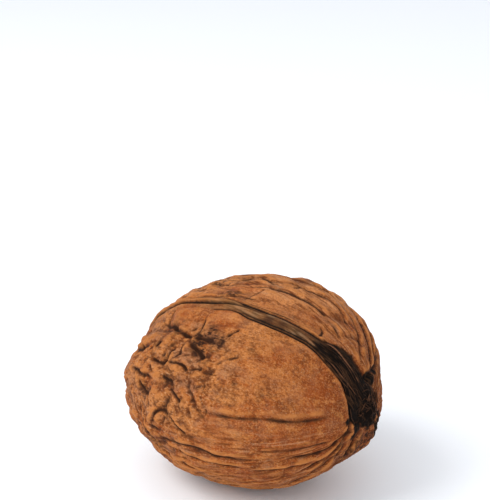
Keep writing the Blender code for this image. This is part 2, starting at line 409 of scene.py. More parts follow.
@dataclass(frozen=True)
class Seam:
    """The raised seam all round: a low band between a deep far crack and a double near line."""

    rise: float = 0.45
    half_width: float = 1.5
    far_crack: SeamLine = SeamLine(
        (
            (0, 0.45), (14, 0.48), (27, 0.81), (45, 0.92), (56, 0.79), (63, 0.70), (75, 0.55), (85, 0.52),
            (90, 0.72), (97, 0.95),
        ),
        ((40, 0.0), (48, 0.9), (86, 1.0), (92, 0.6), (98, 0.0)),
        depth=0.40, width=0.19, ink=0.25,
    )
    twin_line: SeamLine = SeamLine(
        ((55, 1.16), (63, 1.12), (70, 1.02), (76, 0.95), (82, 0.90), (88, 1.02)),
        ((56, 0.0), (64, 0.9), (80, 0.9), (90, 0.0)),
        depth=0.15, width=0.12, ink=0.13,
    )
    tip_line: SeamLine = SeamLine(
        (
            (75, 0.22), (84, 0.14), (88, 0.04), (92, -0.15), (98, -0.42), (107, -0.46), (116, -0.34),
            (124, -0.38), (132, -0.50), (150, -0.60), (180, 0.0),
        ),
        ((72, 0.0), (80, 0.5), (90, 0.8), (98, 1.0), (142, 1.0), (165, 0.4)),
        depth=0.42, width=0.17, ink=0.26,
    )
    near_line: SeamLine = SeamLine(
        (
            (27, -1.95), (39, -1.50), (46, -1.24), (52, -1.16), (56, -1.27), (62, -1.36), (68, -1.50),
            (80, -1.46), (84.5, -1.20), (88.5, -1.17), (93, -1.40), (97, -1.58),
        ),
        ((24, 0.0), (34, 0.7), (44, 1.0), (84, 1.0), (88, 0.75), (96, 0.7), (99, 0.0)),
        depth=0.26, width=0.17, ink=0.20,
    )
    inner_line: SeamLine = SeamLine(
        (
            (27, -1.45), (39, -1.08), (46, -0.88), (52, -0.80), (56, -0.91), (62, -1.00), (68, -1.16),
            (80, -1.12), (84.5, -0.86),
        ),
        ((24, 0.0), (34, 0.7), (44, 1.0), (74, 1.0), (82, 0.7), (87, 0.0)),
        depth=0.20, width=0.14, ink=0.20,
    )
    lower_crack: float = 0.36
    lower_depth: float = 0.55
    lower_width: float = 0.25
    lip_height: float = 0.13
    lip_width: float = 0.30
    lip_gap: float = 0.42
    tip_lip_height: float = 0.32
    tip_lip_width: float = 0.25
    tip_lip_gap: float = 0.45
    ridge_height: float = 0.10
    ridge_width: float = 0.13
    strand_height: float = 0.06
    wander: float = 0.35
    wander_wave: float = 7.0
    wander_reach: float = 4.5
    band_strength: Knots = ((40, 1.0), (86, 1.0), (96, 0.7), (112, 0.25), (140, 0.1))
    strand_seed: int = 61
    wander_seed: int = 5

    def lines(self) -> tuple[SeamLine, ...]:
        """The five lines of the upper seam."""
        return self.far_crack, self.tip_line, self.near_line, self.inner_line, self.twin_line

    def height(self, skin: Skin) -> Array:
        """A bell across the seam, the lines cut into it, a lip beyond the crack and thin strands along it.

        Args:
            skin: The points of the shell.

        Returns:
            The rise at each point.
        """
        lip = self.lip_height * bell(self.far_crack.gap(skin) - self.lip_gap, self.lip_width) * skin.upper
        tip_lip = bell(self.tip_line.gap(skin) - self.tip_lip_gap, self.tip_lip_width)
        lip += self.tip_lip_height * self.tip_line.drawn(skin) * tip_lip
        ridge_gap = 0.5 * (self.near_line.gap(skin) + self.inner_line.gap(skin))
        ridge = self.ridge_height * self.inner_line.drawn(skin) * bell(ridge_gap, self.ridge_width)
        under = self.lower_depth * bell(skin.across - self.lower_crack, self.lower_width)
        under *= 1 - skin.upper
        at = skin.seam_flow(4.0) * np.array([1.0, 1 / 0.30, 1.0])
        strands = self.strand_height * bell(skin.across, 1.4) * lattice_noise(at, self.strand_seed)
        lines = sum(line.height(skin) for line in self.lines())
        return self.rise * bell(skin.across, self.half_width) + lines + lip + ridge - under + strands

    def sideways(self, skin: Skin) -> Array:
        """How far the seam runs to one side of its plane on the lower half: slow noise, fading away from it.

        Args:
            skin: The points of the shell.

        Returns:
            The sideways move of each point.
        """
        half = np.sign(skin.points[:, 2]) * smooth_step(np.abs(skin.points[:, 2]), 0, 4)
        at = np.stack([skin.points[:, 0] / self.wander_wave, half, 0 * half], axis=1)
        wave = lattice_noise(at, self.wander_seed)
        return self.wander * wave * bell(skin.across, self.wander_reach) * (1 - skin.upper)

    def band(self, skin: Skin) -> Array:
        """1 on the strip between the near line and the crack, and 0 outside.

        Args:
            skin: The points of the shell.

        Returns:
            How much each point belongs to the strip.
        """
        inside = smooth_step(self.near_line.gap(skin), -0.05, 0.25)
        inside *= 1 - smooth_step(self.far_crack.gap(skin), -0.15, 0.15)
        return inside * between(skin.station, self.band_strength) * skin.upper


@dataclass(frozen=True)
class HuskBed:
    """The black bed of dry husk along the upper seam, from the stem to where it runs out."""

    near_edge: Knots = (
        (8, -3.6), (14, -3.9), (17, -3.3), (20.5, -2.75), (24, -2.3), (27.5, -1.85), (33, -1.65),
        (39, -1.40), (46, -0.95), (52, -0.75),
    )
    far_edge: Knots = (
        (8, 3.2), (12, 2.6), (16, 2.1), (20, 1.9), (24, 2.05), (28, 2.4), (32, 2.8), (36, 2.65),
        (40, 2.35), (43, 1.9), (46, 1.35), (48, 1.15), (52, 0.95),
    )
    ends: tuple[float, float] = (43.0, 50.0)
    groove_depth: float = 0.42
    groove_width: float = 0.34
    groove_start: tuple[float, float] = (9, 15)
    groove_end: tuple[float, float] = (26, 50)
    sunk: float = 0.10
    strand_height: float = 0.15
    seed: int = 71

    def shape(self, skin: Skin) -> Array:
        """1 in the bed and 0 outside, with a ragged edge.

        Args:
            skin: The points of the shell.

        Returns:
            How much each point belongs to the bed.
        """
        ragged = 0.30 * lattice_noise(skin.points / np.array([1.3, 0.7, 0.7]), self.seed)
        streaks = lattice_noise(skin.seam_flow(3.0) * np.array([1.0, 2.6, 1.0]), self.seed + 1)
        from_near = skin.across - between(skin.station, self.near_edge) + 0.6 * ragged
        from_far = skin.across - between(skin.station, self.far_edge) + ragged
        inside = smooth_step(from_near, -0.08, 0.14) * (1 - smooth_step(from_far, -0.14, 0.08))
        return inside * (1 - smooth_step(skin.station + 7 * streaks, *self.ends)) * skin.upper

    def height(self, skin: Skin) -> Array:
        """A groove along each edge of the bed, and strands in it that run along the seam.

        Args:
            skin: The points of the shell.

        Returns:
            The rise at each point.
        """
        shape = self.shape(skin)
        strong = 1 - smooth_step(skin.station, *self.groove_end)
        strong = strong * smooth_step(skin.station, *self.groove_start) * skin.upper
        near = bell(skin.across - between(skin.station, self.near_edge) - 0.2, self.groove_width)
        far = bell(skin.across - between(skin.station, self.far_edge) + 0.1, self.groove_width)
        at = skin.seam_flow(3.2) * np.array([1.0, 1 / 0.34, 1.0])
        strands = 1 - 2 * np.abs(lattice_noise(at, self.seed + 2))
        strands += 0.5 * lattice_noise(at * 1.9, self.seed + 3)
        grooves = -self.groove_depth * strong * (near + far)
        return grooves + shape * (self.strand_height * (strands - 0.5) - self.sunk)


@dataclass(frozen=True)
class Ends:
    """The blunt point at the tip, and the rough scar at the stem."""

    tip_height: float = 1.15
    tip_radius: float = 2.3
    scar_radius: float = 3.1
    scar_depth: float = 0.55
    knob_height: float = 0.75
    knob_radius: float = 1.5
    rough_wave: float = 0.9
    fine_wave: float = 0.55
    fine_height: float = 0.26
    edge: tuple[float, float] = (2.6, 3.1)
    edge_rise: float = 0.9
    seed: int = 31

    def height(self, skin: Skin) -> Array:
        """Bells round the long axis, the stem's with rough noise on it.

        Args:
            skin: The points of the shell.

        Returns:
            The rise at each point.
        """
        from_axis = np.hypot(skin.points[:, 1], skin.points[:, 2])
        tip = self.tip_height * bell(from_axis, self.tip_radius) * (skin.points[:, 0] < 0)
        rough = 1 + 0.5 * lattice_noise(skin.points / self.rough_wave, self.seed)
        scar = self.knob_height * bell(from_axis, self.knob_radius) * rough
        scar -= self.scar_depth * bell(from_axis, self.scar_radius)
        fine = self.fine_height * lattice_noise(skin.points / self.fine_wave, self.seed + 1)
        scar += fine * bell(from_axis, self.scar_radius)
        return tip + scar * (skin.points[:, 0] > 0)

    def scar(self, skin: Skin) -> Array:
        """1 on the stem scar and 0 outside, with a ragged edge.

        Args:
            skin: The points of the shell.

        Returns:
            How much each point belongs to the scar.
        """
        from_axis = np.hypot(skin.points[:, 1], skin.points[:, 2] - self.edge_rise)
        ragged = 0.5 * lattice_noise(skin.points / self.rough_wave, self.seed + 2)
        return (1 - smooth_step(from_axis + ragged, *self.edge)) * (skin.points[:, 0] > 0)


@dataclass(frozen=True)
class Wrinkles:
    """Lumps with creases between them, and finer networks that only the fine shell shows."""

    broad_wave: float = 11.0
    broad_height: float = 0.30
    wave: float = 4.4
    height_mm: float = 0.62
    dimple_wave: float = 2.4
    dimple_height: float = 0.24
    stem_roughness: float = 0.45
    tip_half: tuple[float, float] = (66, 108)
    warp_wave: float = 5.0
    warp_reach: float = 0.35
    belly_place: tuple[float, float] = (52, -48)
    belly_radius: float = 11.0
    net_wave: float = 2.1
    net_depth: float = 0.15
    pit_wave: float = 1.15
    pit_depth: float = 0.10
    ripple_wave: float = 1.2
    ripple_height: float = 0.12
    leather_wave: float = 1.0
    leather_height: float = 0.060
    knot_wave: float = 2.9
    knot_height: float = 0.42
    knot_detail: float = 0.35
    grit_wave: float = 0.55
    grit_height: float = 0.060
    far_lines: Knots = ((20, 0.9), (60, 0.9), (85, 1.0), (180, 1.0))
    # Station, bearing, radius and strength
    crumpled: tuple[tuple[float, ...], ...] = ((99, -30, 8.0, 1.0), (112, -62, 8.5, 0.9), (90, -50, 5.0, 0.6))
    plates: tuple[tuple[float, ...], ...] = ((113, -10, 3.2, 0.95), (88, -11, 4.0, 0.95))
    seed: int = 17

    def roughness(self, skin: Skin) -> Array:
        """Full on the tip half, lower towards the stem, least on the near belly and at the seam.

        Args:
            skin: The points of the shell.

        Returns:
            The strength of the wrinkles at each point.
        """
        towards_tip = smooth_step(skin.station, *self.tip_half)
        rough = self.stem_roughness + (1 - self.stem_roughness) * towards_tip
        smooth_belly = 1 - 0.75 * skin.near(*self.belly_place, self.belly_radius)
        return rough * smooth_belly * (1 - 0.8 * bell(skin.across, 2.2))

    def warp(self, skin: Skin) -> Array:
        """Slow noise that bends the finer patterns."""
        at = skin.points / self.warp_wave
        return self.warp_reach * np.stack([lattice_noise(at, self.seed + k) for k in range(3)], axis=1)

    def height(self, skin: Skin) -> Array:
        """Broad waves, lumps made of the size of a noise with its top cut off, and dimples.

        Args:
            skin: The points of the shell.

        Returns:
            The rise at each point.
        """
        stretched = skin.points * np.array([0.62, 1.0, 1.0])
        warp = self.warp(skin)
        broad = self.broad_height * lattice_noise(skin.points / self.broad_wave, self.seed)
        size = np.abs(lattice_noise(stretched / self.wave + warp, self.seed + 7))
        lumps = np.minimum(2.4 * size, 1) - 0.6
        dimples = lattice_noise(stretched / self.dimple_wave + warp, self.seed + 11)
        return broad + self.roughness(skin) * (self.height_mm * lumps + self.dimple_height * dimples)

    def crumple(self, skin: Skin) -> Array:
        """Where the fine network is strong: the tip half of the near cheek, and weaker over the tip.

        Args:
            skin: The points of the shell.

        Returns:
            Its strength at each point, from 0 to 1.
        """
        near_seam = sum(strength * skin.near(*place) for *place, strength in self.crumpled)
        tip = 0.5 * smooth_step(skin.station, 98, 125)
        plates = 1.0
        for *place, strength in self.plates:
            plates = plates - strength * skin.near(*place)
        return np.clip(near_seam + tip, 0, 1) * np.clip(plates, 0, 1) * (1 - 0.9 * bell(skin.across, 1.8))

    def lined(self, skin: Skin) -> Array:
        """Where fine lines run from stem to tip: the far cheek, and the near cheek low down.

        Args:
            skin: The points of the shell.

        Returns:
            Their strength at each point, from 0 to 1.
        """
        far = smooth_step(skin.bearing, 6, 22) * between(skin.station, self.far_lines)
        low = smooth_step(-skin.bearing, 58, 84)
        return np.clip(0.18 + far + low, 0, 1) * (1 - 0.5 * self.crumple(skin))

    def fine_height(self, skin: Skin) -> Array:
        """A net of thin creases, knots, small pits, lines along the nut and a leathery grain.

        Args:
            skin: The points of the shell.

        Returns:
            The rise at each point.
        """
        crumple, warp = self.crumple(skin), self.warp(skin)
        at = skin.points * np.array([0.8, 1.0, 1.0]) / self.net_wave + 1.6 * warp
        size = np.abs(lattice_noise(at, self.seed + 21))
        net = -self.net_depth * (1 - smooth_step(size, 0, 0.20))
        knots = lattice_noise(skin.points / self.knot_wave + 1.2 * warp, self.seed + 23)
        knots += self.knot_detail * lattice_noise(skin.points / self.knot_wave * 2.1, self.seed + 25)
        pit_size = lattice_noise(skin.points / self.pit_wave + warp, self.seed + 30)
        pits = -self.pit_depth * smooth_step(pit_size, 0.30, 0.62)
        ripple_at = skin.meridian(8.0) / self.ripple_wave + 0.8 * warp
        ripples = 1 - 2.4 * np.abs(lattice_noise(ripple_at, self.seed + 31))
        grain_at = skin.points * np.array([0.6, 1.0, 1.0]) / self.leather_wave
        leather = lattice_noise(grain_at, self.seed + 37)
        grit = self.grit_height * lattice_noise(skin.points / self.grit_wave, self.seed + 41)
        fine = crumple * (net + self.knot_height * knots + pits)
        fine += self.ripple_height * self.lined(skin) * ripples
        clear = 1 - 0.8 * bell(skin.across, 1.6) * skin.upper
        return clear * (fine + self.leather_height * leather) + grit * (0.4 + crumple)


# Broad rises and hollows: station, bearing, radius and height
SWELLS = (
    Swell(17, 165, 5.0, 0.45),
    Swell(36, -178, 4.0, -0.50),
    Swell(26, 106, 5.5, -0.80),
    Swell(42, -150, 5.0, -0.60),
    Swell(60, -132, 7.0, -0.30),
    Swell(66, 59, 4.5, -0.05),
    Swell(82, -127, 8.0, -0.45),
    Swell(118, -110, 4.5, -0.30),
    Swell(136, -80, 8.0, 0.45),
    Swell(142, -60, 4.5, 0.25),
    Swell(140, 4, 8.5, -0.75),
    Swell(147, -30, 5.5, -0.40),
    Swell(78, 54, 7.5, 0.30),
    Swell(50, -36, 8.0, 0.35),
    Swell(90, -168, 6.0, 0.50),
    # Smooth plates under the seam and among the pits
    Swell(114, -10, 2.1, 0.36),
    Swell(89, -10, 2.5, 0.32),
    Swell(100, -44, 1.8, 0.22),
    Swell(103, -73, 2.2, 0.25),
    Swell(67, -64, 1.8, 0.20),
    # Deep hollows round the pits
    Swell(90, -22, 1.7, -0.28),
    Swell(115, -19, 1.4, -0.30),
    Swell(93, -30, 1.2, -0.30),
    Swell(109, -90, 1.6, -0.30),
)

# Long furrows that stand well apart
FURROWS = (
    Furrow(
        (
            (84, -58), (76, -58), (70, -58), (64, -57.5), (58, -56.8), (54, -56.5), (50, -57),
            (43.5, -57), (37, -56), (32, -54.5), (28, -52.5), (23, -48),
        ),
        width=0.42, depth=0.24, shoulder=0.28, shade_and_stain=0.60, ink=0.32, fray=0.5,
    ),
    Furrow(
        (
            (12, -60), (13.5, -68), (14.5, -78), (16.5, -85), (20, -89), (24, -92), (28, -93), (32, -93),
            (35, -91.5), (38, -90), (42, -88.5), (48, -87),
        ),
        width=0.34, depth=0.42, shoulder=0.24, shade_and_stain=0.75, ink=0.24, fray=0.5,
    ),
    Furrow(
        (
            (108, -85), (103, -83), (96, -82), (90, -81), (84, -81), (79, -82), (75, -83), (70, -83.5),
            (65, -84), (56, -84.5),
        ),
        width=0.36, depth=0.32, shoulder=0.26, shade_and_stain=0.50, ink=0.24, fray=0.7,
    ),
    Furrow(
        (
            (14, -98), (20, -102), (24.5, -107.5), (29, -110.5), (35, -114), (42, -118), (49, -121),
            (58, -122),
        ),
        width=0.32, depth=0.36, shoulder=0.26, shade_and_stain=0.65, ink=0.20, fray=0.4,
    ),
    Furrow(
        (
            (96, 14), (90, 20), (82.5, 23.5), (76, 24), (69, 25), (63, 26), (58, 25.5), (53.5, 24),
            (50, 23), (47, 21.5), (44, 20), (39, 18),
        ),
        width=0.30, depth=0.22, shoulder=0.14, shade_and_stain=0.48, ink=0.18, fray=0.7,
    ),
    Furrow(
        (
            (106, 33), (98, 37), (90, 40), (83, 43), (77, 44), (72, 46.5), (66, 50), (60, 49.5),
            (54, 47.3), (48.5, 46), (44, 44.5), (38.5, 39.5), (32.5, 31.5), (27, 24.5), (22, 20),
        ),
        width=0.30, depth=0.22, shoulder=0.20, shade_and_stain=0.45, ink=0.20, fray=0.8,
    ),
    Furrow(
        ((58, 72), (50, 76), (43, 77), (37, 73), (30, 66), (23.5, 55), (20, 37), (18, 21.5), (17, 5)),
        width=0.38, depth=0.42, shoulder=0.10, shade_and_stain=1.0, ink=0.34, fray=0.2,
    ),
    Furrow(
        (
            (8, -110), (9.5, -115), (15, -118.5), (19.5, -124), (23.5, -133), (26, -148), (26.5, -162),
            (25, -171), (20, -178), (16, -184),
        ),
        width=0.34, depth=0.45, shoulder=0.10, shade_and_stain=0.60, ink=0.20, fray=0.5,
    ),
    Furrow(
        ((112, 84), (92, 88), (70, 92), (50, 94), (32, 96), (18, 92)),
        width=0.40, depth=0.60, shoulder=0.20, shade_and_stain=0.8,
    ),
    Furrow(
        ((104, 118), (82, 122), (60, 120), (40, 124), (22, 126)),
        width=0.40, depth=0.60, shoulder=0.20, shade_and_stain=0.8,
    ),
    Furrow(
        ((98, 148), (78, 151), (56, 148), (36, 152), (20, 156)),
        width=0.36, depth=0.50, shoulder=0.16, shade_and_stain=0.7,
    ),
    Furrow(
        ((102, -138), (80, -140), (58, -139), (42, -143), (34, -150)),
        width=0.40, depth=0.50, shoulder=0.18, shade_and_stain=0.7,
    ),
)

# Finer furrows that run beside the long ones
CREASES = (
    Furrow(
        (
            (97, -6), (98, -10.5), (97, -15), (96.5, -18.5), (97.5, -21), (99, -23), (101, -25),
            (102.5, -27.5), (103, -30), (103, -33), (104.5, -36.5), (107, -39),
        ),
        width=0.24, depth=0.24, shoulder=0.12, shade_and_stain=0.75, ink=0.16,
    ),
    Furrow(
        (
            (74, 56), (68, 59), (62, 60), (56, 59), (50, 57.5), (42.5, 54.5), (36.5, 52), (31, 50),
            (26, 45), (22, 38), (18.5, 26),
        ),
        width=0.26, depth=0.28, shoulder=0.24, shade_and_stain=0.95, ink=0.17, fray=0.3,
    ),
    Furrow(
        ((66, 63), (60, 64), (55, 65), (49, 64.5), (42, 62.5), (34, 59), (28, 54)),
        width=0.24, depth=0.24, shoulder=0.22, shade_and_stain=0.85, ink=0.16, fray=0.4,
    ),
    Furrow(
        ((104, 27), (97, 29), (89, 29), (82, 31), (75, 35), (68, 38), (60, 40), (52, 39), (45, 35)),
        width=0.24, depth=0.18, shoulder=0.12, shade_and_stain=0.40, ink=0.15, fray=0.8,
    ),
    Furrow(
        ((104, 24), (101, 29), (97, 33), (92, 31), (87, 28), (83, 26)),
        width=0.28, depth=0.24, shoulder=0.16, shade_and_stain=0.45, ink=0.22, fray=0.8,
    ),
    Furrow(
        ((124, 8), (118, 9), (112, 14), (108, 19), (104, 24)),
        width=0.24, depth=0.26, shoulder=0.14, shade_and_stain=0.6, ink=0.17, fray=0.6,
    ),
    Furrow(
        ((128, 3), (119, 3.2), (110, 3), (102, 3.2), (95, 5), (88, 8), (80, 9)),
        width=0.20, depth=0.20, shoulder=0.18, shade_and_stain=0.55, ink=0.14, fray=0.6,
    ),
    Furrow(
        ((112, 42), (100, 46), (90, 49), (80, 55), (72, 62), (62, 68)),
        width=0.24, depth=0.20, shoulder=0.12, shade_and_stain=0.70, ink=0.17, fray=0.5,
    ),
    Furrow(
        ((60, -78), (52, -79), (45, -80), (38, -80), (31, -82), (25, -84)),
        width=0.26, depth=0.20, shoulder=0.14, shade_and_stain=0.42, ink=0.18, fray=0.8,
    ),
    Furrow(
        (
            (12, -82), (14.5, -87), (18, -92.5), (22, -98), (26, -101.5), (30.5, -104), (34, -105),
            (39, -106), (48, -106),
        ),
        width=0.28, depth=0.34, shoulder=0.20, shade_and_stain=0.80, ink=0.20, fray=0.4,
    ),
    Furrow(
        ((62, -94), (54, -95), (47, -97), (41, -98), (34, -99)),
        width=0.24, depth=0.22, shoulder=0.14, shade_and_stain=0.50, ink=0.18, fray=0.8,
    ),
    Furrow(
        ((46, -130), (38, -128), (32, -122), (27, -116), (22, -108), (17, -100)),
        width=0.26, depth=0.32, shoulder=0.20, shade_and_stain=0.65, ink=0.18,
    ),
    Furrow(
        (
            (108, -88), (103, -87), (98, -88), (93, -88.5), (88, -88.5), (84, -88), (79, -88.5),
            (72, -90), (64, -91),
        ),
        width=0.26, depth=0.26, shoulder=0.24, shade_and_stain=0.50, ink=0.18, fray=0.7,
    ),
    Furrow(
        (
            (116, -84), (112, -90), (110, -97), (106, -100), (98, -98), (91.5, -97.5), (87, -98.5),
            (83, -100), (77, -102), (68, -103),
        ),
        width=0.30, depth=0.38, shoulder=0.24, shade_and_stain=0.85, ink=0.22, fray=0.4,
    ),
    Furrow(
        ((122, -90), (117, -98), (112.5, -103), (107, -104), (101, -105), (95, -107), (86, -110)),
        width=0.30, depth=0.36, shoulder=0.22, shade_and_stain=0.80, ink=0.22, fray=0.4,
    ),
    Furrow(
        ((96, -114), (84, -115), (72, -113), (60, -112), (50, -112)),
        width=0.26, depth=0.28, shoulder=0.20, shade_and_stain=0.55, ink=0.18, fray=0.6,
    ),
    Furrow(
        ((82.5, -34), (79.5, -31), (76.5, -28.5), (73, -26)),
        width=0.22, depth=0.20, shoulder=0.10, shade_and_stain=0.55, ink=0.15,
    ),
    Furrow(
        ((14, -118), (20, -126), (25, -140), (26, -152)),
        width=0.28, depth=0.20, shoulder=0.15, shade_and_stain=0.4, ink=0.18,
    ),
    Furrow(
        ((92, 60), (80, 66), (68, 74), (56, 82), (44, 84)),
        width=0.26, depth=0.30, shoulder=0.12, shade_and_stain=0.6, ink=0.18,
    ),
    Furrow(
        ((96, 100), (76, 106), (56, 108), (38, 108)),
        width=0.26, depth=0.30, shoulder=0.12, shade_and_stain=0.6, ink=0.18,
    ),
    Furrow(
        ((92, 134), (74, 136), (54, 134), (36, 138)),
        width=0.26, depth=0.30, shoulder=0.12, shade_and_stain=0.6, ink=0.18,
    ),
    Furrow(
        ((98, -124), (80, -126), (62, -128), (50, -132)),
        width=0.26, depth=0.30, shoulder=0.12, shade_and_stain=0.6, ink=0.18,
    ),
)

# Short cracks and pits, most of them on the tip half
CRACKS = (
    Furrow(
        (
            (124, -14), (119.5, -17), (115.5, -17), (110.5, -20), (108, -20.5), (105, -21.5),
            (101, -22.5), (98, -23),
        ),
        width=0.30, depth=0.42, shoulder=0.10, shade_and_stain=0.95, ink=0.22,
    ),
    Furrow(
        ((122, -5), (121.5, -10.5), (122, -15)),
        width=0.22, depth=0.22, shoulder=0.08, shade_and_stain=0.7, ink=0.16,
    ),
    Furrow(
        ((83.5, -18), (81.5, -14.5), (80, -12)),
        width=0.24, depth=0.22, shoulder=0.0, shade_and_stain=0.75, ink=0.18,
    ),
    Furrow(
        ((98, -23), (95.5, -22.5), (91, -22), (86.5, -22.5), (84, -20)),
        width=0.34, depth=0.34, shoulder=0.0, shade_and_stain=0.75, ink=0.30,
    ),
    Furrow(
        ((100.5, -24), (99, -25.5), (96.5, -27.5), (94, -28.5), (91, -30.5), (88, -32.5)),
        width=0.32, depth=0.42, shoulder=0.0, shade_and_stain=1.0, ink=0.26,
    ),
    Furrow(
        ((106, -30), (108, -32), (108, -34.5), (107.5, -37.5), (111.5, -39.5), (116, -39.5), (119, -38)),
        width=0.26, depth=0.36, shoulder=0.10, shade_and_stain=0.95, ink=0.20,
    ),
    Furrow(
        ((107, -38), (103, -38), (100.5, -37.5), (97, -38.5), (95, -41)),
        width=0.24, depth=0.34, shoulder=0.10, shade_and_stain=0.85, ink=0.19,
    ),
    Furrow(
        ((107.5, -46), (105, -47), (100.5, -47.5)),
        width=0.28, depth=0.34, shoulder=0.0, shade_and_stain=1.0, ink=0.24,
    ),
    Furrow(
        ((122, -54), (120, -57), (116, -61)),
        width=0.30, depth=0.34, shoulder=0.0, shade_and_stain=0.8, ink=0.24,
    ),
    Furrow(
        ((119, -32), (117.5, -30), (115.5, -28)),
        width=0.30, depth=0.34, shoulder=0.0, shade_and_stain=0.9, ink=0.24,
    ),
    Furrow(
        ((143, -39), (137, -36), (130, -34), (123, -32)),
        width=0.32, depth=0.32, shoulder=0.10, shade_and_stain=0.6, ink=0.22,
    ),
    Furrow(
        ((136, -50), (128, -49), (120, -50), (115, -48)),
        width=0.32, depth=0.32, shoulder=0.10, shade_and_stain=0.6, ink=0.22,
    ),
    Furrow(
        ((102, -51), (99, -53), (96, -55), (93, -57)),
        width=0.24, depth=0.28, shoulder=0.0, shade_and_stain=0.75, ink=0.18,
    ),
    Furrow(
        ((111, -75), (109, -72.5), (108.5, -69.5), (107.5, -67), (105.5, -65.5), (102.5, -65), (98, -66)),
        width=0.26, depth=0.34, shoulder=0.10, shade_and_stain=0.75, ink=0.17,
    ),
    Furrow(
        ((99, -65.5), (96, -68.5), (93.5, -71.5), (90, -74)),
        width=0.22, depth=0.20, shoulder=0.08, shade_and_stain=0.50, ink=0.14,
    ),
    Furrow(
        ((119, -78), (114, -83), (111.5, -88), (111, -93), (108, -99)),
        width=0.32, depth=0.42, shoulder=0.10, shade_and_stain=0.95, ink=0.26,
    ),
    Furrow(
        ((16, -94), (20, -98), (25, -103.5), (29, -107), (35, -110), (42, -113)),
        width=0.22, depth=0.20, shoulder=0.20, shade_and_stain=0.55, ink=0.15, fray=0.4,
    ),
    Furrow(
        ((52, 13), (50.5, 12.5), (49.5, 10.5), (49, 8), (50, 5)),
        width=0.20, depth=0.12, shoulder=0.0, shade_and_stain=1.0, ink=0.16, fray=0.1,
    ),
    Furrow(
        ((88, 4), (87, 10), (85, 17), (82, 23)),
        width=0.22, depth=0.16, shoulder=0.0, shade_and_stain=0.4, ink=0.15,
    ),
    Furrow(
        ((76, 28), (75, 34), (73, 37)),
        width=0.22, depth=0.16, shoulder=0.0, shade_and_stain=0.4, ink=0.16,
    ),
    Furrow(
        ((152, -12), (143, -20), (136, -28), (130, -40)),
        width=0.50, depth=0.40, shoulder=0.0, shade_and_stain=0.5,
    ),
    Furrow(
        ((150, 40), (138, 52), (126, 58), (114, 60)),
        width=0.50, depth=0.50, shoulder=0.0, shade_and_stain=0.6,
    ),
    Furrow(
        ((152, 110), (140, 104), (128, 108), (116, 104)),
        width=0.50, depth=0.50, shoulder=0.0, shade_and_stain=0.6,
    ),
    Furrow(
        ((148, 150), (134, 146), (120, 150)),
        width=0.50, depth=0.45, shoulder=0.0, shade_and_stain=0.6,
    ),
    Furrow(
        ((152, -110), (140, -118), (128, -116), (116, -122)),
        width=0.50, depth=0.50, shoulder=0.0, shade_and_stain=0.6,
    ),
    Furrow(
        ((146, -150), (132, -154), (118, -150)),
        width=0.50, depth=0.45, shoulder=0.0, shade_and_stain=0.6,
    ),
)


class Spot(Enum):
    """Dark smudges on the shell, partly stains and partly painted shade in pits, crevices and round the
    bulge: station, bearing, radius and strength.
    """

    PLATE_MIDDLE = (91, -15, 0.8, 0.60)
    PLATE_MIDDLE_LOW = (91, -18.5, 0.9, 0.65)
    UNDER_SEAM = (95.5, -22, 1.1, 0.70)
    UNDER_SEAM_MIDDLE = (91, -22, 1.5, 0.85)
    UNDER_SEAM_RIGHT = (86.5, -22.5, 1.4, 0.85)
    UNDER_SEAM_END = (84, -20, 0.7, 0.60)
    PLATE_PIT = (115, -19, 1.7, 0.85)
    PLATE_PIT_RIGHT = (108, -21, 1.0, 0.60)
    PIT_FIELD = (96, -26.5, 1.1, 0.75)
    PIT_FIELD_MIDDLE = (93.5, -29, 1.2, 0.90)
    PIT_FIELD_RIGHT = (89.5, -32, 1.1, 0.85)
    CREVICE = (109, -36, 0.8, 0.55)
    CRACK_PIT = (104, -47, 1.0, 0.85)
    CRACK_SHADE = (99, -49, 1.2, 0.35)
    LEFT_LOW = (119, -57.5, 1.1, 0.75)
    LEFT_LOWER = (117, -61, 0.9, 0.50)
    LEFT_HIGH = (117.5, -30.5, 0.8, 0.85)
    LEFT_EDGE = (136, -23, 1.0, 0.50)
    BROW = (79.5, -25, 0.8, 0.55)
    SPECKLED = (84, -38, 0.9, 0.50)
    HOOKED = (94, -55, 0.8, 0.50)
    BELLY_LEFT = (86.5, -46.5, 1.0, 0.60)
    BELLY_LEFT_HIGH = (93, -40.5, 0.7, 0.50)
    BELLY_DOT = (71.5, -40.5, 0.5, 0.55)
    BELLY_SOFT = (58, -43, 1.2, 0.40)
    HIGH_BELLY = (70, -20, 0.8, 0.50)
    ARCH = (101, -65, 1.0, 0.80)
    LOW_CREVICE = (111.5, -91, 1.4, 0.95)
    LOW_CREVICE_HIGH = (115, -84, 0.8, 0.65)
    LOW_CREVICE_RIGHT = (105, -84, 0.9, 0.65)
    LOW_LINE = (85, -82, 0.8, 0.50)
    BESIDE_SEAM = (94, 8, 1.5, 0.85)
    BESIDE_SEAM_LEFT = (98, 7.5, 1.0, 0.75)
    BEHIND_SEAM = (112, 23, 1.3, 0.85)
    BEHIND_SEAM_RIGHT = (100, 24, 1.5, 0.80)
    SEAM_DUST = (87, 6, 0.9, 0.40)
    LOW_DOT = (33, -75, 0.5, 0.50)
    BULGE = (20, -148, 3.2, 0.85)
    BULGE_HIGH = (13, -162, 2.2, 0.70)
    BULGE_EDGE = (24, -130, 1.3, 0.80)
    BULGE_RIM = (25, -166, 1.4, 0.75)


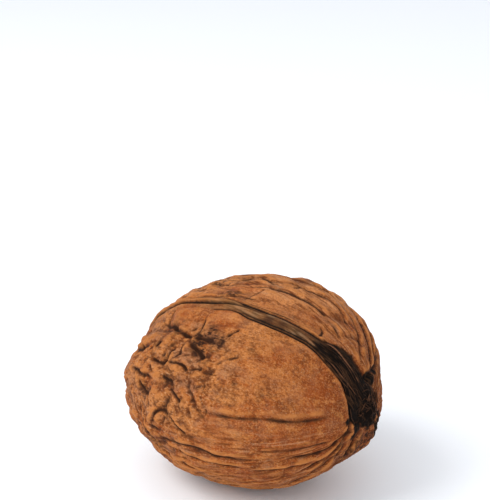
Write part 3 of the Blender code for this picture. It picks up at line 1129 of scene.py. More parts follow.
class Blush(Enum):
    """Broad red-brown patches on the shell: station, bearing, radius and strength."""

    STEM_BELLY = (38, -34, 2.2, 0.70)
    STEM_LOW = (39, -78, 2.4, 0.60)
    STEM_FURROW = (32, -58, 2.0, 0.45)
    STEM_UNDER = (30, -98, 2.6, 0.50)
    BELLY_HIGH = (60, -26, 2.4, 0.40)
    LOW_LEFT = (78, -66, 2.6, 0.65)
    LOW_MIDDLE = (70, -75, 1.6, 0.45)
    LOW_DOT = (84, -74, 1.0, 0.55)
    LOW_EDGE = (68, -104, 2.4, 0.60)
    LOW_RIGHT = (50, -66, 1.6, 0.40)
    PLATE = (112, -11, 2.6, 0.95)
    PLATE_RIGHT = (90, -9, 2.8, 0.65)
    BULGE = (14, -135, 3.0, 0.85)
    BULGE_LOW = (22, -165, 2.6, 0.85)
    STEM_SIDE = (15, -108, 1.8, 0.55)
    FAR_PATCH = (98, 13, 2.8, 0.80)
    FAR_PATCH_HIGH = (90, 18, 2.2, 0.50)
    TIP_CHEEK = (112, -50, 2.6, 0.35)
    TIP_LOW = (118, -74, 2.6, 0.35)
    FAR_RIGHT = (58, 16, 2.2, 0.50)
    FAR_EDGE = (46, 40, 2.6, 0.45)
    FAR_LEFT = (94, 18, 2.2, 0.45)


class Soot(Enum):
    """Patches of black husk off the bed: station, bearing and radius."""

    RIGHT_JOINT = (17, 28, 1.15)
    RIGHT_RISE = (20, 50, 0.60)
    WEDGE = (10, -95, 0.80)
    WEDGE_LOW = (14, -103, 0.55)
    FLAKE = (13, 168, 1.10)
    FLAKE_RIGHT = (15, 150, 1.30)
    FLAKE_LOW = (18, 174, 0.80)
    NEAR_TAIL = (15, -64, 0.60)


class Sheet:
    """A node tree with short ways to add and link its nodes."""

    def __init__(self, tree: bpy.types.NodeTree) -> None:
        """Keeps the tree."""
        self.tree = tree

    def feed(self, socket: Socket, value: Feed) -> None:
        """Links a socket, or sets it where the value is a number or a colour.

        Args:
            socket: The input.
            value: An output to link, or a constant.
        """
        if isinstance(value, Socket):
            self.tree.links.new(value, socket)
        else:
            socket.default_value = value

    def add(self, kind: str, inputs: dict[str, Feed] | None = None, **settings: object) -> Node:
        """Adds a node.

        Args:
            kind: The node's Blender type, without ShaderNode.
            inputs: What to link or set, by socket name.
            settings: The node's own properties.

        Returns:
            The node.
        """
        node = self.tree.nodes.new("ShaderNode" + kind)
        for name, value in settings.items():
            setattr(node, name, value)
        for name, value in (inputs or {}).items():
            self.feed(node.inputs[name], value)
        return node

    def math(self, operation: str, first: Feed, second: Feed = 0.0) -> Socket:
        """One step of arithmetic."""
        node = self.add("Math", operation=operation)
        self.feed(node.inputs[0], first)
        self.feed(node.inputs[1], second)
        return node.outputs[0]

    def times(self, first: Feed, second: Feed) -> Socket:
        """Two values multiplied."""
        return self.math("MULTIPLY", first, second)

    def attribute(self, name: str, output: str = "Fac") -> Socket:
        """A value, or a place in a pattern, that the mesh holds for each vertex."""
        return self.add("Attribute", attribute_name=name).outputs[output]

    def noise(
        self, vector: Feed, size: float, detail: float, roughness: float, twist: float = 0.0
    ) -> Socket:
        """Noise with waves of one size, in the vector's own unit.

        Args:
            vector: Where the noise is read.
            size: The length of its largest wave.
            detail: How many finer waves are added.
            roughness: How strong they are.
            twist: How far it is bent by itself.

        Returns:
            The noise, from 0 to 1.
        """
        inputs = {"Vector": vector, "Scale": 1 / size, "Detail": detail}
        inputs.update({"Roughness": roughness, "Distortion": twist})
        return self.add("TexNoise", inputs).outputs["Fac"]

    def spread(
        self, value: Feed, low: float, high: float, start: float = 0.0, end: float = 1.0
    ) -> Socket:
        """A smooth step from start at low to end at high.

        Args:
            value: What the step runs over.
            low: Where it leaves start.
            high: Where it reaches end.
            start: The value below.
            end: The value above.

        Returns:
            The step's value.
        """
        inputs = {"Value": value, "From Min": low, "From Max": high, "To Min": start, "To Max": end}
        return self.add("MapRange", inputs, interpolation_type="SMOOTHSTEP").outputs["Result"]

    def mix(self, share: Feed, first: Feed, second: Feed) -> Socket:
        """Two colours mixed by a share.

        Args:
            share: How much of the second, from 0 to 1.
            first: The colour below.
            second: The colour above.

        Returns:
            The mixed colour.
        """
        node = self.add("Mix", data_type="RGBA", clamp_factor=True)
        self.feed(node.inputs[0], share)
        self.feed(node.inputs[6], first if isinstance(first, Socket) else (*first, 1.0))
        self.feed(node.inputs[7], second if isinstance(second, Socket) else (*second, 1.0))
        return node.outputs[2]

    def tint(
        self, colour: Feed, ink: Colour, value: Feed, low: float, high: float, share: float
    ) -> Socket:
        """Lays an ink over a colour where a value runs from low to high.

        Args:
            colour: The colour below.
            ink: The colour above.
            value: What decides where the ink shows.
            low: Where it starts to show.
            high: Where it is strongest.
            share: How strong it is there.

        Returns:
            The colour.
        """
        return self.mix(self.spread(value, low, high, 0.0, share), colour, ink)

    def inked(self, name: str, ragged: Feed, colour: Feed, ink: Colour, softness: float) -> Socket:
        """Draws a set of dark lines, with painted shade in their grooves and cracks: dark where the held gap
        is small, as strongly as the held darkness.

        Args:
            name: What the gap and the stain are called in the mesh.
            ragged: How wide the lines are, from place to place.
            colour: The colour below.
            ink: The lines' colour.
            softness: Where a line ends, in its own half widths.

        Returns:
            The colour.
        """
        gap = self.math("DIVIDE", self.math("ABSOLUTE", self.attribute(name + "_gap")), ragged)
        drawn = self.times(self.spread(gap, softness, 0.1), self.attribute(name + "_stain"))
        return self.mix(drawn, colour, ink)


# Wave length in millimetres at size 1, detail, roughness and twist
MOTTLE_WAVES = {
    "Blotch": (4.2, 3.0, 0.6, 0.4),
    "Bloom": (2.3, 3.0, 0.65),
    "Mottle": (1.6, 4.0, 0.66),
    "Fleck": (0.62, 2.0, 0.6),
    "Speck": (0.27, 2.0, 0.6),
    "Grit": (0.17, 2.0, 0.65, 0.3),
}


def dry_mottle_group() -> bpy.types.NodeTree:
    """A shared effect: the mottled tone and the fine grit of dry plant matter.

    Returns:
        A node group with Position and Size in, and Blotch, Bloom, Mottle, Fleck, Speck and Grit out.
    """
    tree = bpy.data.node_groups.new("dry_mottle", "ShaderNodeTree")
    tree.interface.new_socket("Position", in_out="INPUT", socket_type="NodeSocketVector")
    tree.interface.new_socket("Size", in_out="INPUT", socket_type="NodeSocketFloat")
    for name in MOTTLE_WAVES:
        tree.interface.new_socket(name, in_out="OUTPUT", socket_type="NodeSocketFloat")
    sheet = Sheet(tree)
    given, out = tree.nodes.new("NodeGroupInput"), tree.nodes.new("NodeGroupOutput")
    scaled = sheet.add("VectorMath", {"Vector": given.outputs["Position"]}, operation="SCALE")
    sheet.feed(scaled.inputs["Scale"], sheet.math("DIVIDE", 1000.0, given.outputs["Size"]))
    drawn_out = sheet.add("VectorMath", operation="MULTIPLY")
    sheet.feed(drawn_out.inputs[0], scaled.outputs[0])
    drawn_out.inputs[1].default_value = (0.62, 1.0, 1.0)
    at = drawn_out.outputs[0]
    for name, wave in MOTTLE_WAVES.items():
        sheet.feed(out.inputs[name], sheet.noise(at, *wave))
    return tree


@dataclass(frozen=True)
class ShellFinish:
    """Dry brown shell: blotched, with painted highlight on its lumps and far cheek and painted shade in its
    creases, cracks and hollows and on the stem end and underside, olive on the seam and black where husk is
    left.
    """

    base: Colour = (0.345, 0.094, 0.0160)
    pale: Colour = (0.465, 0.168, 0.044)
    deep: Colour = (0.110, 0.026, 0.0048)
    rust: Colour = (0.265, 0.050, 0.0058)
    # Paler, pinker colour for the far cheek: painted light, as more light falls there from above
    far_cheek: Colour = (0.620, 0.250, 0.086)
    # Near black brown: painted shade in hollows and furrows, dark lines and smudges, and dark streaks on the
    # seam band
    crease: Colour = (0.030, 0.010, 0.004)
    dust: Colour = (0.520, 0.300, 0.160)
    seam_pale: Colour = (0.185, 0.088, 0.031)
    seam_dark: Colour = (0.050, 0.026, 0.011)
    ash: Colour = (0.270, 0.128, 0.070)
    # Near black: the dry husk's own black, and painted shade in the seam's cracks and in the gaps along the
    # husk bed
    husk_black_and_shade: Colour = (0.0050, 0.0024, 0.0014)
    fibre: Colour = (0.040, 0.018, 0.008)
    roughness: float = 0.64
    sheen: float = 0.08
    grain_depth: float = 0.00026
    crumb_depth: float = 0.0003

    def material(self, mottle: bpy.types.NodeTree) -> bpy.types.Material:
        """Lays the colours over each other by the noises and by what the mesh holds for each vertex.

        Args:
            mottle: The shared dry mottle.

        Returns:
            The material.
        """
        material = bpy.data.materials.new("walnut_shell")
        material.use_nodes = True
        sheet = Sheet(material.node_tree)
        surface = material.node_tree.nodes["Principled BSDF"]
        place = sheet.add("TexCoord").outputs["Object"]
        dry = sheet.add("Group", node_tree=mottle)
        sheet.feed(dry.inputs["Position"], place)
        dry.inputs["Size"].default_value = 1.0
        colour = self.skin_colour(sheet, dry)
        colour = self.creased(sheet, dry, colour)
        colour = self.seamed(sheet, dry, colour)
        sheet.feed(surface.inputs["Base Color"], colour)
        husk_black_and_shade = sheet.attribute("husk_black_and_shade")
        rough = sheet.spread(dry.outputs["Mottle"], 0.3, 0.75, self.roughness - 0.07, self.roughness + 0.12)
        sheet.feed(surface.inputs["Roughness"], sheet.math("ADD", rough, sheet.times(husk_black_and_shade, 0.14)))
        surface.inputs["Specular IOR Level"].default_value = self.sheen
        sheet.feed(surface.inputs["Normal"], self.grained(sheet, dry))
        return material

    def skin_colour(self, sheet: Sheet, dry: Node) -> Socket:
        """The shell's colour: blotches, then mottles, then specks; painted light makes the far cheek paler
        and pinker, and painted shade darkens the stem end and the low near edge, which are also redder.

        Args:
            sheet: Where the nodes go.
            dry: The dry mottle.

        Returns:
            The colour.
        """
        out = dry.outputs
        colour = sheet.mix(sheet.spread(out["Blotch"], 0.38, 0.62), self.base, self.pale)
        colour = sheet.tint(colour, self.rust, out["Blotch"], 0.50, 0.34, 0.6)
        side = sheet.attribute("far_cheek")
        # Painted light: the far cheek is made paler and pinker where more light falls on it from above
        colour = sheet.tint(colour, self.far_cheek, side, -0.05, 0.35, 0.75)
        # Redder towards the stem, and darker there: a redder tone, and painted shade on the stem end away
        # from the light
        colour = sheet.mix(sheet.attribute("stem_side"), colour, self.rust)
        colour = sheet.mix(sheet.times(sheet.attribute("stem_side"), 0.42), colour, self.deep)
        colour = sheet.tint(colour, self.deep, out["Bloom"], 0.47, 0.34, 0.5)
        # Redder low on the near cheek: a redder tone there, and painted shade on the underside of the nut
        colour = sheet.tint(colour, self.rust, side, -0.90, -0.985, 0.4)
        # Noise, where its tone starts to show, where it is strongest, how strong, and the colour
        tones = (
            ("Mottle", 0.50, 0.34, 0.70, self.deep),
            ("Mottle", 0.53, 0.66, 0.65, self.pale),
            ("Fleck", 0.48, 0.34, 0.32, self.deep),
            ("Fleck", 0.54, 0.66, 0.45, self.pale),
            ("Speck", 0.48, 0.34, 0.50, self.deep),
            ("Speck", 0.54, 0.66, 0.50, self.pale),
            ("Grit", 0.48, 0.34, 0.45, self.deep),
            ("Grit", 0.53, 0.66, 0.30, self.dust),
        )
        for noise, low, high, share, ink in tones:
            colour = sheet.tint(colour, ink, out[noise], low, high, share)
        patchy = sheet.spread(out["Mottle"], 0.62, 0.38, 0.25, 0.85)
        blush = sheet.times(sheet.attribute("blush"), patchy)
        colour = sheet.mix(blush, colour, self.rust)
        rough = sheet.attribute("rough")
        worn = sheet.spread(out["Blotch"], 0.52, 0.36, 0.0, 0.8)
        worn = sheet.times(sheet.spread(side, 0.3, 0.6), worn)
        colour = sheet.mix(worn, colour, self.deep)
        ashen = sheet.spread(out["Bloom"], 0.48, 0.62, 0.0, 0.45)
        ashen = sheet.times(ashen, sheet.spread(rough, 0.0, 0.8, 0.35, 1.0))
        colour = sheet.mix(ashen, colour, self.ash)
        dark = sheet.times(rough, sheet.spread(out["Fleck"], 0.50, 0.36, 0.0, 0.75))
        light = sheet.times(rough, sheet.spread(out["Speck"], 0.54, 0.68, 0.0, 0.38))
        return sheet.mix(light, sheet.mix(dark, colour, self.deep), self.dust)

    def creased(self, sheet: Sheet, dry: Node, colour: Socket) -> Socket:
        """Lined along the nut, with a painted highlight on what stands out, painted shade in hollows, dark
        lines with painted shade along the furrows, and smudges that are partly painted shade.

        Args:
            sheet: Where the nodes go.
            dry: The dry mottle.
            colour: The colour below.

        Returns:
            The colour.
        """
        lines = sheet.noise(sheet.attribute("meridian", "Vector"), 0.50, 3.0, 0.65)
        lined = sheet.attribute("lined")
        dark = sheet.times(sheet.spread(lines, 0.49, 0.36, 0.0, 0.9), lined)
        light = sheet.times(sheet.spread(lines, 0.53, 0.68, 0.0, 0.32), lined)
        colour = sheet.mix(dark, colour, self.deep)
        colour = sheet.mix(light, colour, self.dust)
        cavity = sheet.attribute("cavity")
        # Painted highlight on what stands out, and painted shade in the hollows
        colour = sheet.tint(colour, self.pale, cavity, 0.02, 0.16, 0.70)
        valley_shade = sheet.times(sheet.spread(cavity, 0.01, -0.10, 0.0, 0.45), sheet.attribute("rough"))
        colour = sheet.mix(valley_shade, colour, self.deep)
        colour = sheet.tint(colour, self.crease, cavity, -0.02, -0.22, 0.85)
        ragged = sheet.spread(dry.outputs["Fleck"], 0.34, 0.66, 0.35, 1.5)
        # Dark lines along the furrows, creases and cracks: their own dark lines and painted shade in the
        # grooves
        for name, softness in (("furrow", 1.6), ("crease", 1.6), ("crack", 2.2)):
            colour = sheet.inked(name, ragged, colour, self.crease, softness)
        # Dark smudges: stains, and painted shade in pits, crevices and round the bulge
        patchy = sheet.spread(dry.outputs["Fleck"], 0.64, 0.40, 0.12, 1.0)
        return sheet.mix(sheet.times(sheet.attribute("smudge_and_shade"), patchy), colour, self.crease)

    def seamed(self, sheet: Sheet, dry: Node, colour: Socket) -> Socket:
        """The seam's olive band, its lines drawn near black as painted shade in the cracks, and the black
        husk with brown strands in it, whose black also stands for the shadow in the gaps along the husk bed.

        Args:
            sheet: Where the nodes go.
            dry: The dry mottle.
            colour: The colour below.

        Returns:
            The colour.
        """
        flow = sheet.noise(sheet.attribute("seam_flow", "Vector"), 0.34, 2.0, 0.6)
        tone = sheet.mix(sheet.attribute("band_depth"), self.seam_pale, self.seam_dark)
        tone = sheet.tint(tone, self.crease, flow, 0.50, 0.38, 0.9)
        tone = sheet.tint(tone, self.dust, flow, 0.52, 0.64, 0.25)
        colour = sheet.mix(sheet.times(sheet.attribute("band"), 0.92), colour, tone)
        ragged = sheet.spread(dry.outputs["Fleck"], 0.30, 0.70, 0.75, 1.20)
        # Painted shade: the seam's cracks and lines drawn near black
        for name in SEAM_INKS:
            colour = sheet.inked(name, ragged, colour, self.husk_black_and_shade, 1.3)
        # Black husk with lighter strands over the bed; at the bed's edges the black is painted shadow in the
        # gaps
        fibres = sheet.spread(flow, 0.50, 0.70)
        husk = sheet.mix(fibres, self.husk_black_and_shade, self.fibre)
        return sheet.mix(sheet.attribute("husk_black_and_shade"), colour, husk)

    def grained(self, sheet: Sheet, dry: Node) -> Socket:
        """Mottle, flecks and grit as a low bump, and coarser crumbs on the rough patches.

        Args:
            sheet: Where the nodes go.
            dry: The dry mottle.

        Returns:
            The normal.
        """
        grit = sheet.times(dry.outputs["Grit"], 0.55)
        flecks = sheet.times(dry.outputs["Fleck"], 0.75)
        mottles = sheet.times(dry.outputs["Mottle"], 0.8)
        height = sheet.math("ADD", sheet.math("ADD", mottles, flecks), grit)
        inputs = {"Height": height, "Strength": 0.85, "Distance": self.grain_depth}
        grain = sheet.add("Bump", inputs).outputs["Normal"]
        coarse = sheet.math("ADD", dry.outputs["Fleck"], dry.outputs["Mottle"])
        crumbs = sheet.times(coarse, sheet.attribute("rough"))
        inputs = {"Height": crumbs, "Strength": 0.6, "Distance": self.crumb_depth, "Normal": grain}
        return sheet.add("Bump", inputs).outputs["Normal"]


@dataclass(frozen=True)
class FibreFinish:
    """Dry husk fibre: near black to straw, each strand its own tone."""

    dark: Colour = (0.007, 0.0035, 0.002)
    straw: Colour = (0.260, 0.105, 0.048)
    roughness: float = 0.72
    sheen: float = 0.12
    pattern_size: float = 0.6
    grain_depth: float = 0.0001

    def material(self, mottle: bpy.types.NodeTree) -> bpy.types.Material:
        """Mixes the two tones by the strand's own value and by the mottle.

        Args:
            mottle: The shared dry mottle.

        Returns:
            The material.
        """
        material = bpy.data.materials.new("husk_fibre")
        material.use_nodes = True
        sheet = Sheet(material.node_tree)
        surface = material.node_tree.nodes["Principled BSDF"]
        dry = sheet.add("Group", node_tree=mottle)
        sheet.feed(dry.inputs["Position"], sheet.add("TexCoord").outputs["Object"])
        dry.inputs["Size"].default_value = self.pattern_size
        patchy = sheet.spread(dry.outputs["Mottle"], 0.36, 0.62, 0.35, 1.15)
        tone = sheet.times(sheet.attribute("tone"), patchy)
        sheet.feed(surface.inputs["Base Color"], sheet.mix(tone, self.dark, self.straw))
        surface.inputs["Roughness"].default_value = self.roughness
        surface.inputs["Specular IOR Level"].default_value = self.sheen
        inputs = {"Height": dry.outputs["Grit"], "Strength": 0.6, "Distance": self.grain_depth}
        sheet.feed(surface.inputs["Normal"], sheet.add("Bump", inputs).outputs["Normal"])
        return material


def dressed(name: str, mesh: bpy.types.Mesh, material: bpy.types.Material) -> bpy.types.Object:
    """Makes a smooth shaded piece that rides with the nut.

    Args:
        name: The piece's name.
        mesh: Its mesh, already in place.
        material: Its material.

    Returns:
        The piece.
    """
    mesh.shade_smooth()
    mesh.materials.append(material)
    piece = bpy.data.objects.new(name, mesh)
    bpy.context.scene.collection.objects.link(piece)
    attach(piece, "root")
    return piece


def mesh_of(name: str, points: Array, quads: Array) -> bpy.types.Mesh:
    """Puts points and four-sided faces into a mesh.

    Args:
        name: The mesh's name.
        points: The points, in millimetres.
        quads: Four point numbers for each face.

    Returns:
        The mesh, in metres.
    """
    mesh = bpy.data.meshes.new(name)
    mesh.vertices.add(len(points))
    mesh.vertices.foreach_set("co", (points * MM).astype(np.float32).ravel())
    mesh.loops.add(quads.size)
    mesh.loops.foreach_set("vertex_index", quads.astype(np.int32).ravel())
    mesh.polygons.add(len(quads))
    mesh.polygons.foreach_set("loop_start", np.arange(0, quads.size, 4, dtype=np.int32))
    mesh.update(calc_edges=True)
    mesh.validate()
    return mesh


def hold(mesh: bpy.types.Mesh, name: str, values: Array) -> None:
    """Keeps one or three numbers for each vertex, for the materials to read.

    Args:
        mesh: The mesh.
        name: What they are called.
        values: The numbers.
    """
    kind, key = ("FLOAT", "value") if values.ndim == 1 else ("FLOAT_VECTOR", "vector")
    mesh.attributes.new(name, kind, "POINT").data.foreach_set(key, values.astype(np.float32).ravel())


@dataclass
class WalnutShell:
    """The whole shell, from the same formula as the frame's solid, with the fine relief on it."""

    egg: Egg = field(default_factory=Egg)
    lie: Lie = field(default_factory=Lie)
    seam: Seam = field(default_factory=Seam)
    husk: HuskBed = field(default_factory=HuskBed)
    ends: Ends = field(default_factory=Ends)
    wrinkles: Wrinkles = field(default_factory=Wrinkles)
    finish: ShellFinish = field(default_factory=ShellFinish)
    facets_a_side: int = 126
    seam_gather: float = 0.55
    near_shift: float = -0.12
    view_gather: float = 0.28
    view_angle_deg: float = 45.0
    cavity_passes: int = 22
    line_stretch: float = 9.0
    # Stations where the stem end's redder tone and painted shade are full, and where they have faded out
    stem_side: tuple[float, float] = (14, 78)
    seed: int = 75
    band_dark: Knots = ((48, 1.0), (66, 0.95), (80, 0.60), (92, 0.15))

    def cube_grid(self) -> tuple[Array, Array]:
        """Six square grids of two parameters, joined where they meet.

        Returns:
            The points of a cube from -1 to 1, and four point numbers for each face.
        """
        count = self.facets_a_side
        step = np.arange(count + 1)
        across, up = (g.ravel() for g in np.meshgrid(step, step, indexing="ij"))
        number = np.arange((count + 1) ** 2).reshape(count + 1, count + 1)
        corners = [number[:-1, :-1], number[1:, :-1], number[1:, 1:], number[:-1, 1:]]
        square = np.stack(corners, axis=-1).reshape(-1, 4)
        keys, faces = [], []
        for axis, outer in itertools.product(range(3), (0, count)):
            grid = np.empty((len(across), 3), np.int64)
            grid[:, axis] = outer
            grid[:, (axis + 1) % 3], grid[:, (axis + 2) % 3] = across, up
            keys.append(grid)
            turned = square if outer else square[:, ::-1]
            faces.append(turned + len(faces) * len(across))
        keys = np.concatenate(keys)
        order = (keys[:, 0] * (count + 1) + keys[:, 1]) * (count + 1) + keys[:, 2]
        _, first, index = np.unique(order, return_index=True, return_inverse=True)
        return keys[first] / count * 2.0 - 1.0, index.reshape(-1)[np.concatenate(faces)]

    def skin(self, cube: Array) -> Skin:
        """Turns the cube's points into directions in rows along the seam, closest together at the seam.

        The rows are also closer on the near cheek, and the steps along them on the side that is seen.

        Args:
            cube: Points of a cube from -1 to 1.

        Returns:
            The shell's points, before any relief.
        """
        spread = np.tan(cube * math.pi / 4)
        even = spread / np.linalg.norm(spread, axis=1, keepdims=True)
        row = cube[:, 1]
        row = row + self.near_shift * (1 - row**2)
        row = row * (1 - self.seam_gather * (1 - np.abs(row)) ** 2)
        apart = (1 - row**2) * row * math.pi / 4 + row**2 * np.arcsin(np.clip(even[:, 1], -1, 1))
        round_seam = np.arctan2(even[:, 2], even[:, 0])
        from_view = np.sin(round_seam - math.radians(self.view_angle_deg))
        round_seam = round_seam - self.view_gather * np.cos(apart) * from_view
        x, y, z = np.cos(apart) * np.cos(round_seam), np.sin(apart), np.cos(apart) * np.sin(round_seam)
        return Skin(self.egg, np.degrees(np.arccos(np.clip(x, -1, 1))), np.degrees(np.arctan2(y, z)))

    def relief(self, skin: Skin) -> tuple[Array, dict[str, Array]]:
        """Adds up the swells, the seam, the husk bed, the ends, the wrinkles and the furrows.

        Args:
            skin: The shell's points, before any relief.

        Returns:
            The rise, and for each set of furrows the gap to its nearest line and how dark that line is drawn,
            painted shade included.
        """
        height = self.seam.height(skin) + self.husk.height(skin) + self.ends.height(skin)
        height += self.wrinkles.height(skin) + self.wrinkles.fine_height(skin)
        for swell in SWELLS:
            height += swell.height * skin.near(swell.station, swell.bearing, swell.radius)
        inks = {}
        for name, routes in (("furrow", FURROWS), ("crease", CREASES), ("crack", CRACKS)):
            gap, shade_and_stain = np.full(len(height), FAR_AWAY), np.zeros(len(height))
            for furrow in routes:
                change, signed, shaded_and_stained = furrow.cut(skin)
                height += change
                nearer = np.abs(signed) < np.abs(gap)
                gap, shade_and_stain = np.where(nearer, signed, gap), np.where(nearer, shaded_and_stained, shade_and_stain)
            inks[name + "_gap"], inks[name + "_stain"] = gap, shade_and_stain
        return height, inks

    def cavity(self, height: Array, quads: Array) -> Array:
        """How far each point stands above the mean of those round it: the rise less its own smoothed copy.

        Args:
            height: The rise at each point.
            quads: Four point numbers for each face.

        Returns:
            Plus on what stands out, and minus in hollows.
        """
        ends = np.concatenate([quads[:, [0, 1]], quads[:, [1, 2]], quads[:, [2, 3]], quads[:, [3, 0]]])
        count = np.bincount(ends[:, 0], minlength=len(height))
        smooth = height.copy()
        for _ in range(self.cavity_passes):
            around = np.bincount(ends[:, 0], weights=smooth[ends[:, 1]], minlength=len(height)) / count
            smooth = 0.4 * smooth + 0.6 * around
        return height - smooth

    def patches(self, skin: Skin, kind: type[Enum]) -> Array:
        """Adds up a table of patches.

        Args:
            skin: The points of the shell.
            kind: The table: station, bearing, radius and strength.

        Returns:
            Their strength at each point.
        """
        none = np.zeros(len(skin.station))
        return sum((patch.value[3] * skin.near(*patch.value[:3]) for patch in kind), none)

    def husk_black_and_shade(self, skin: Skin) -> Array:
        """1 where black husk covers the shell: the bed, with the painted shadow in the gaps along its edges,
        the scar and the patches off them.

        Args:
            skin: The points of the shell.

        Returns:
            How much of each point is covered.
        """
        ragged = 1 + 0.5 * lattice_noise(skin.points / 0.8, self.seed)
        ragged += 0.3 * lattice_noise(skin.points / 0.35, self.seed + 1)
        off = np.max([skin.near(*patch.value) for patch in Soot], axis=0)
        patches = smooth_step(off * ragged, 0.30, 0.48)
        return np.maximum.reduce([self.husk.shape(skin), self.ends.scar(skin), patches])

    def hold_tones(self, mesh: bpy.types.Mesh, skin: Skin, cavity: Array, inks: dict[str, Array]) -> None:
        """Keeps what the material needs to know of each vertex.

        Args:
            mesh: The shell's mesh.
            skin: The shell's points, before any relief.
            cavity: Plus on what stands out, and minus in hollows.
            inks: The gaps and stains of the furrows.
        """
        ragged = 0.5 * lattice_noise(skin.points / 1.4, self.seed + 6)
        smudge_and_shade, blush = self.patches(skin, Spot), self.patches(skin, Blush)
        for name, values in inks.items():
            hold(mesh, name, values)
        for name, line in zip(SEAM_INKS, self.seam.lines()):
            hold(mesh, name + "_gap", line.gap(skin) / line.ink)
            hold(mesh, name + "_stain", line.drawn(skin) * (1 - smooth_step(-skin.points[:, 2], 0, 1)))
        hold(mesh, "cavity", cavity)
        hold(mesh, "far_cheek", np.sin(np.radians(skin.bearing)))
        # Where the stem end's redder tone and painted shade show
        hold(mesh, "stem_side", 1 - smooth_step(skin.station, *self.stem_side))
        hold(mesh, "band", self.seam.band(skin) * np.clip(0.9 + 0.6 * ragged, 0, 1))
        hold(mesh, "band_depth", between(skin.station, self.band_dark))
        hold(mesh, "smudge_and_shade", np.clip(smudge_and_shade * (1 + ragged), 0, 1))
        hold(mesh, "blush", np.clip(blush * (1 + ragged), 0, 1))
        hold(mesh, "lined", self.wrinkles.lined(skin))
        hold(mesh, "rough", self.wrinkles.crumple(skin))
        hold(mesh, "meridian", skin.meridian(self.line_stretch))
        hold(mesh, "seam_flow", skin.seam_flow(self.line_stretch))
        hold(mesh, "husk_black_and_shade", self.husk_black_and_shade(skin))

    def build(self, mottle: bpy.types.NodeTree) -> bpy.types.Object:
        """Makes the shell and dresses it.

        Args:
            mottle: The shared dry mottle.

        Returns:
            The shell, in place of the frame's solid.
        """
        cube, quads = self.cube_grid()
        skin = self.skin(cube)
        height, inks = self.relief(skin)
        surface = skin.points + skin.normals * height[:, None]
        surface[:, 1] += self.seam.sideways(skin)
        mesh = mesh_of("walnut_shell", self.lie.laid(surface), quads)
        self.hold_tones(mesh, skin, self.cavity(height, quads), inks)
        piece = dressed("walnut_shell", mesh, self.finish.material(mottle))
        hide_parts("walnut")
        return piece


@dataclass(frozen=True)
class Strand:
    """One dry fibre, along places seen from the stem end: towards the far cheek, and towards the seam."""

    route: tuple[tuple[float, float], ...]
    radius: float
    tone: float
    lift: float = 0.06


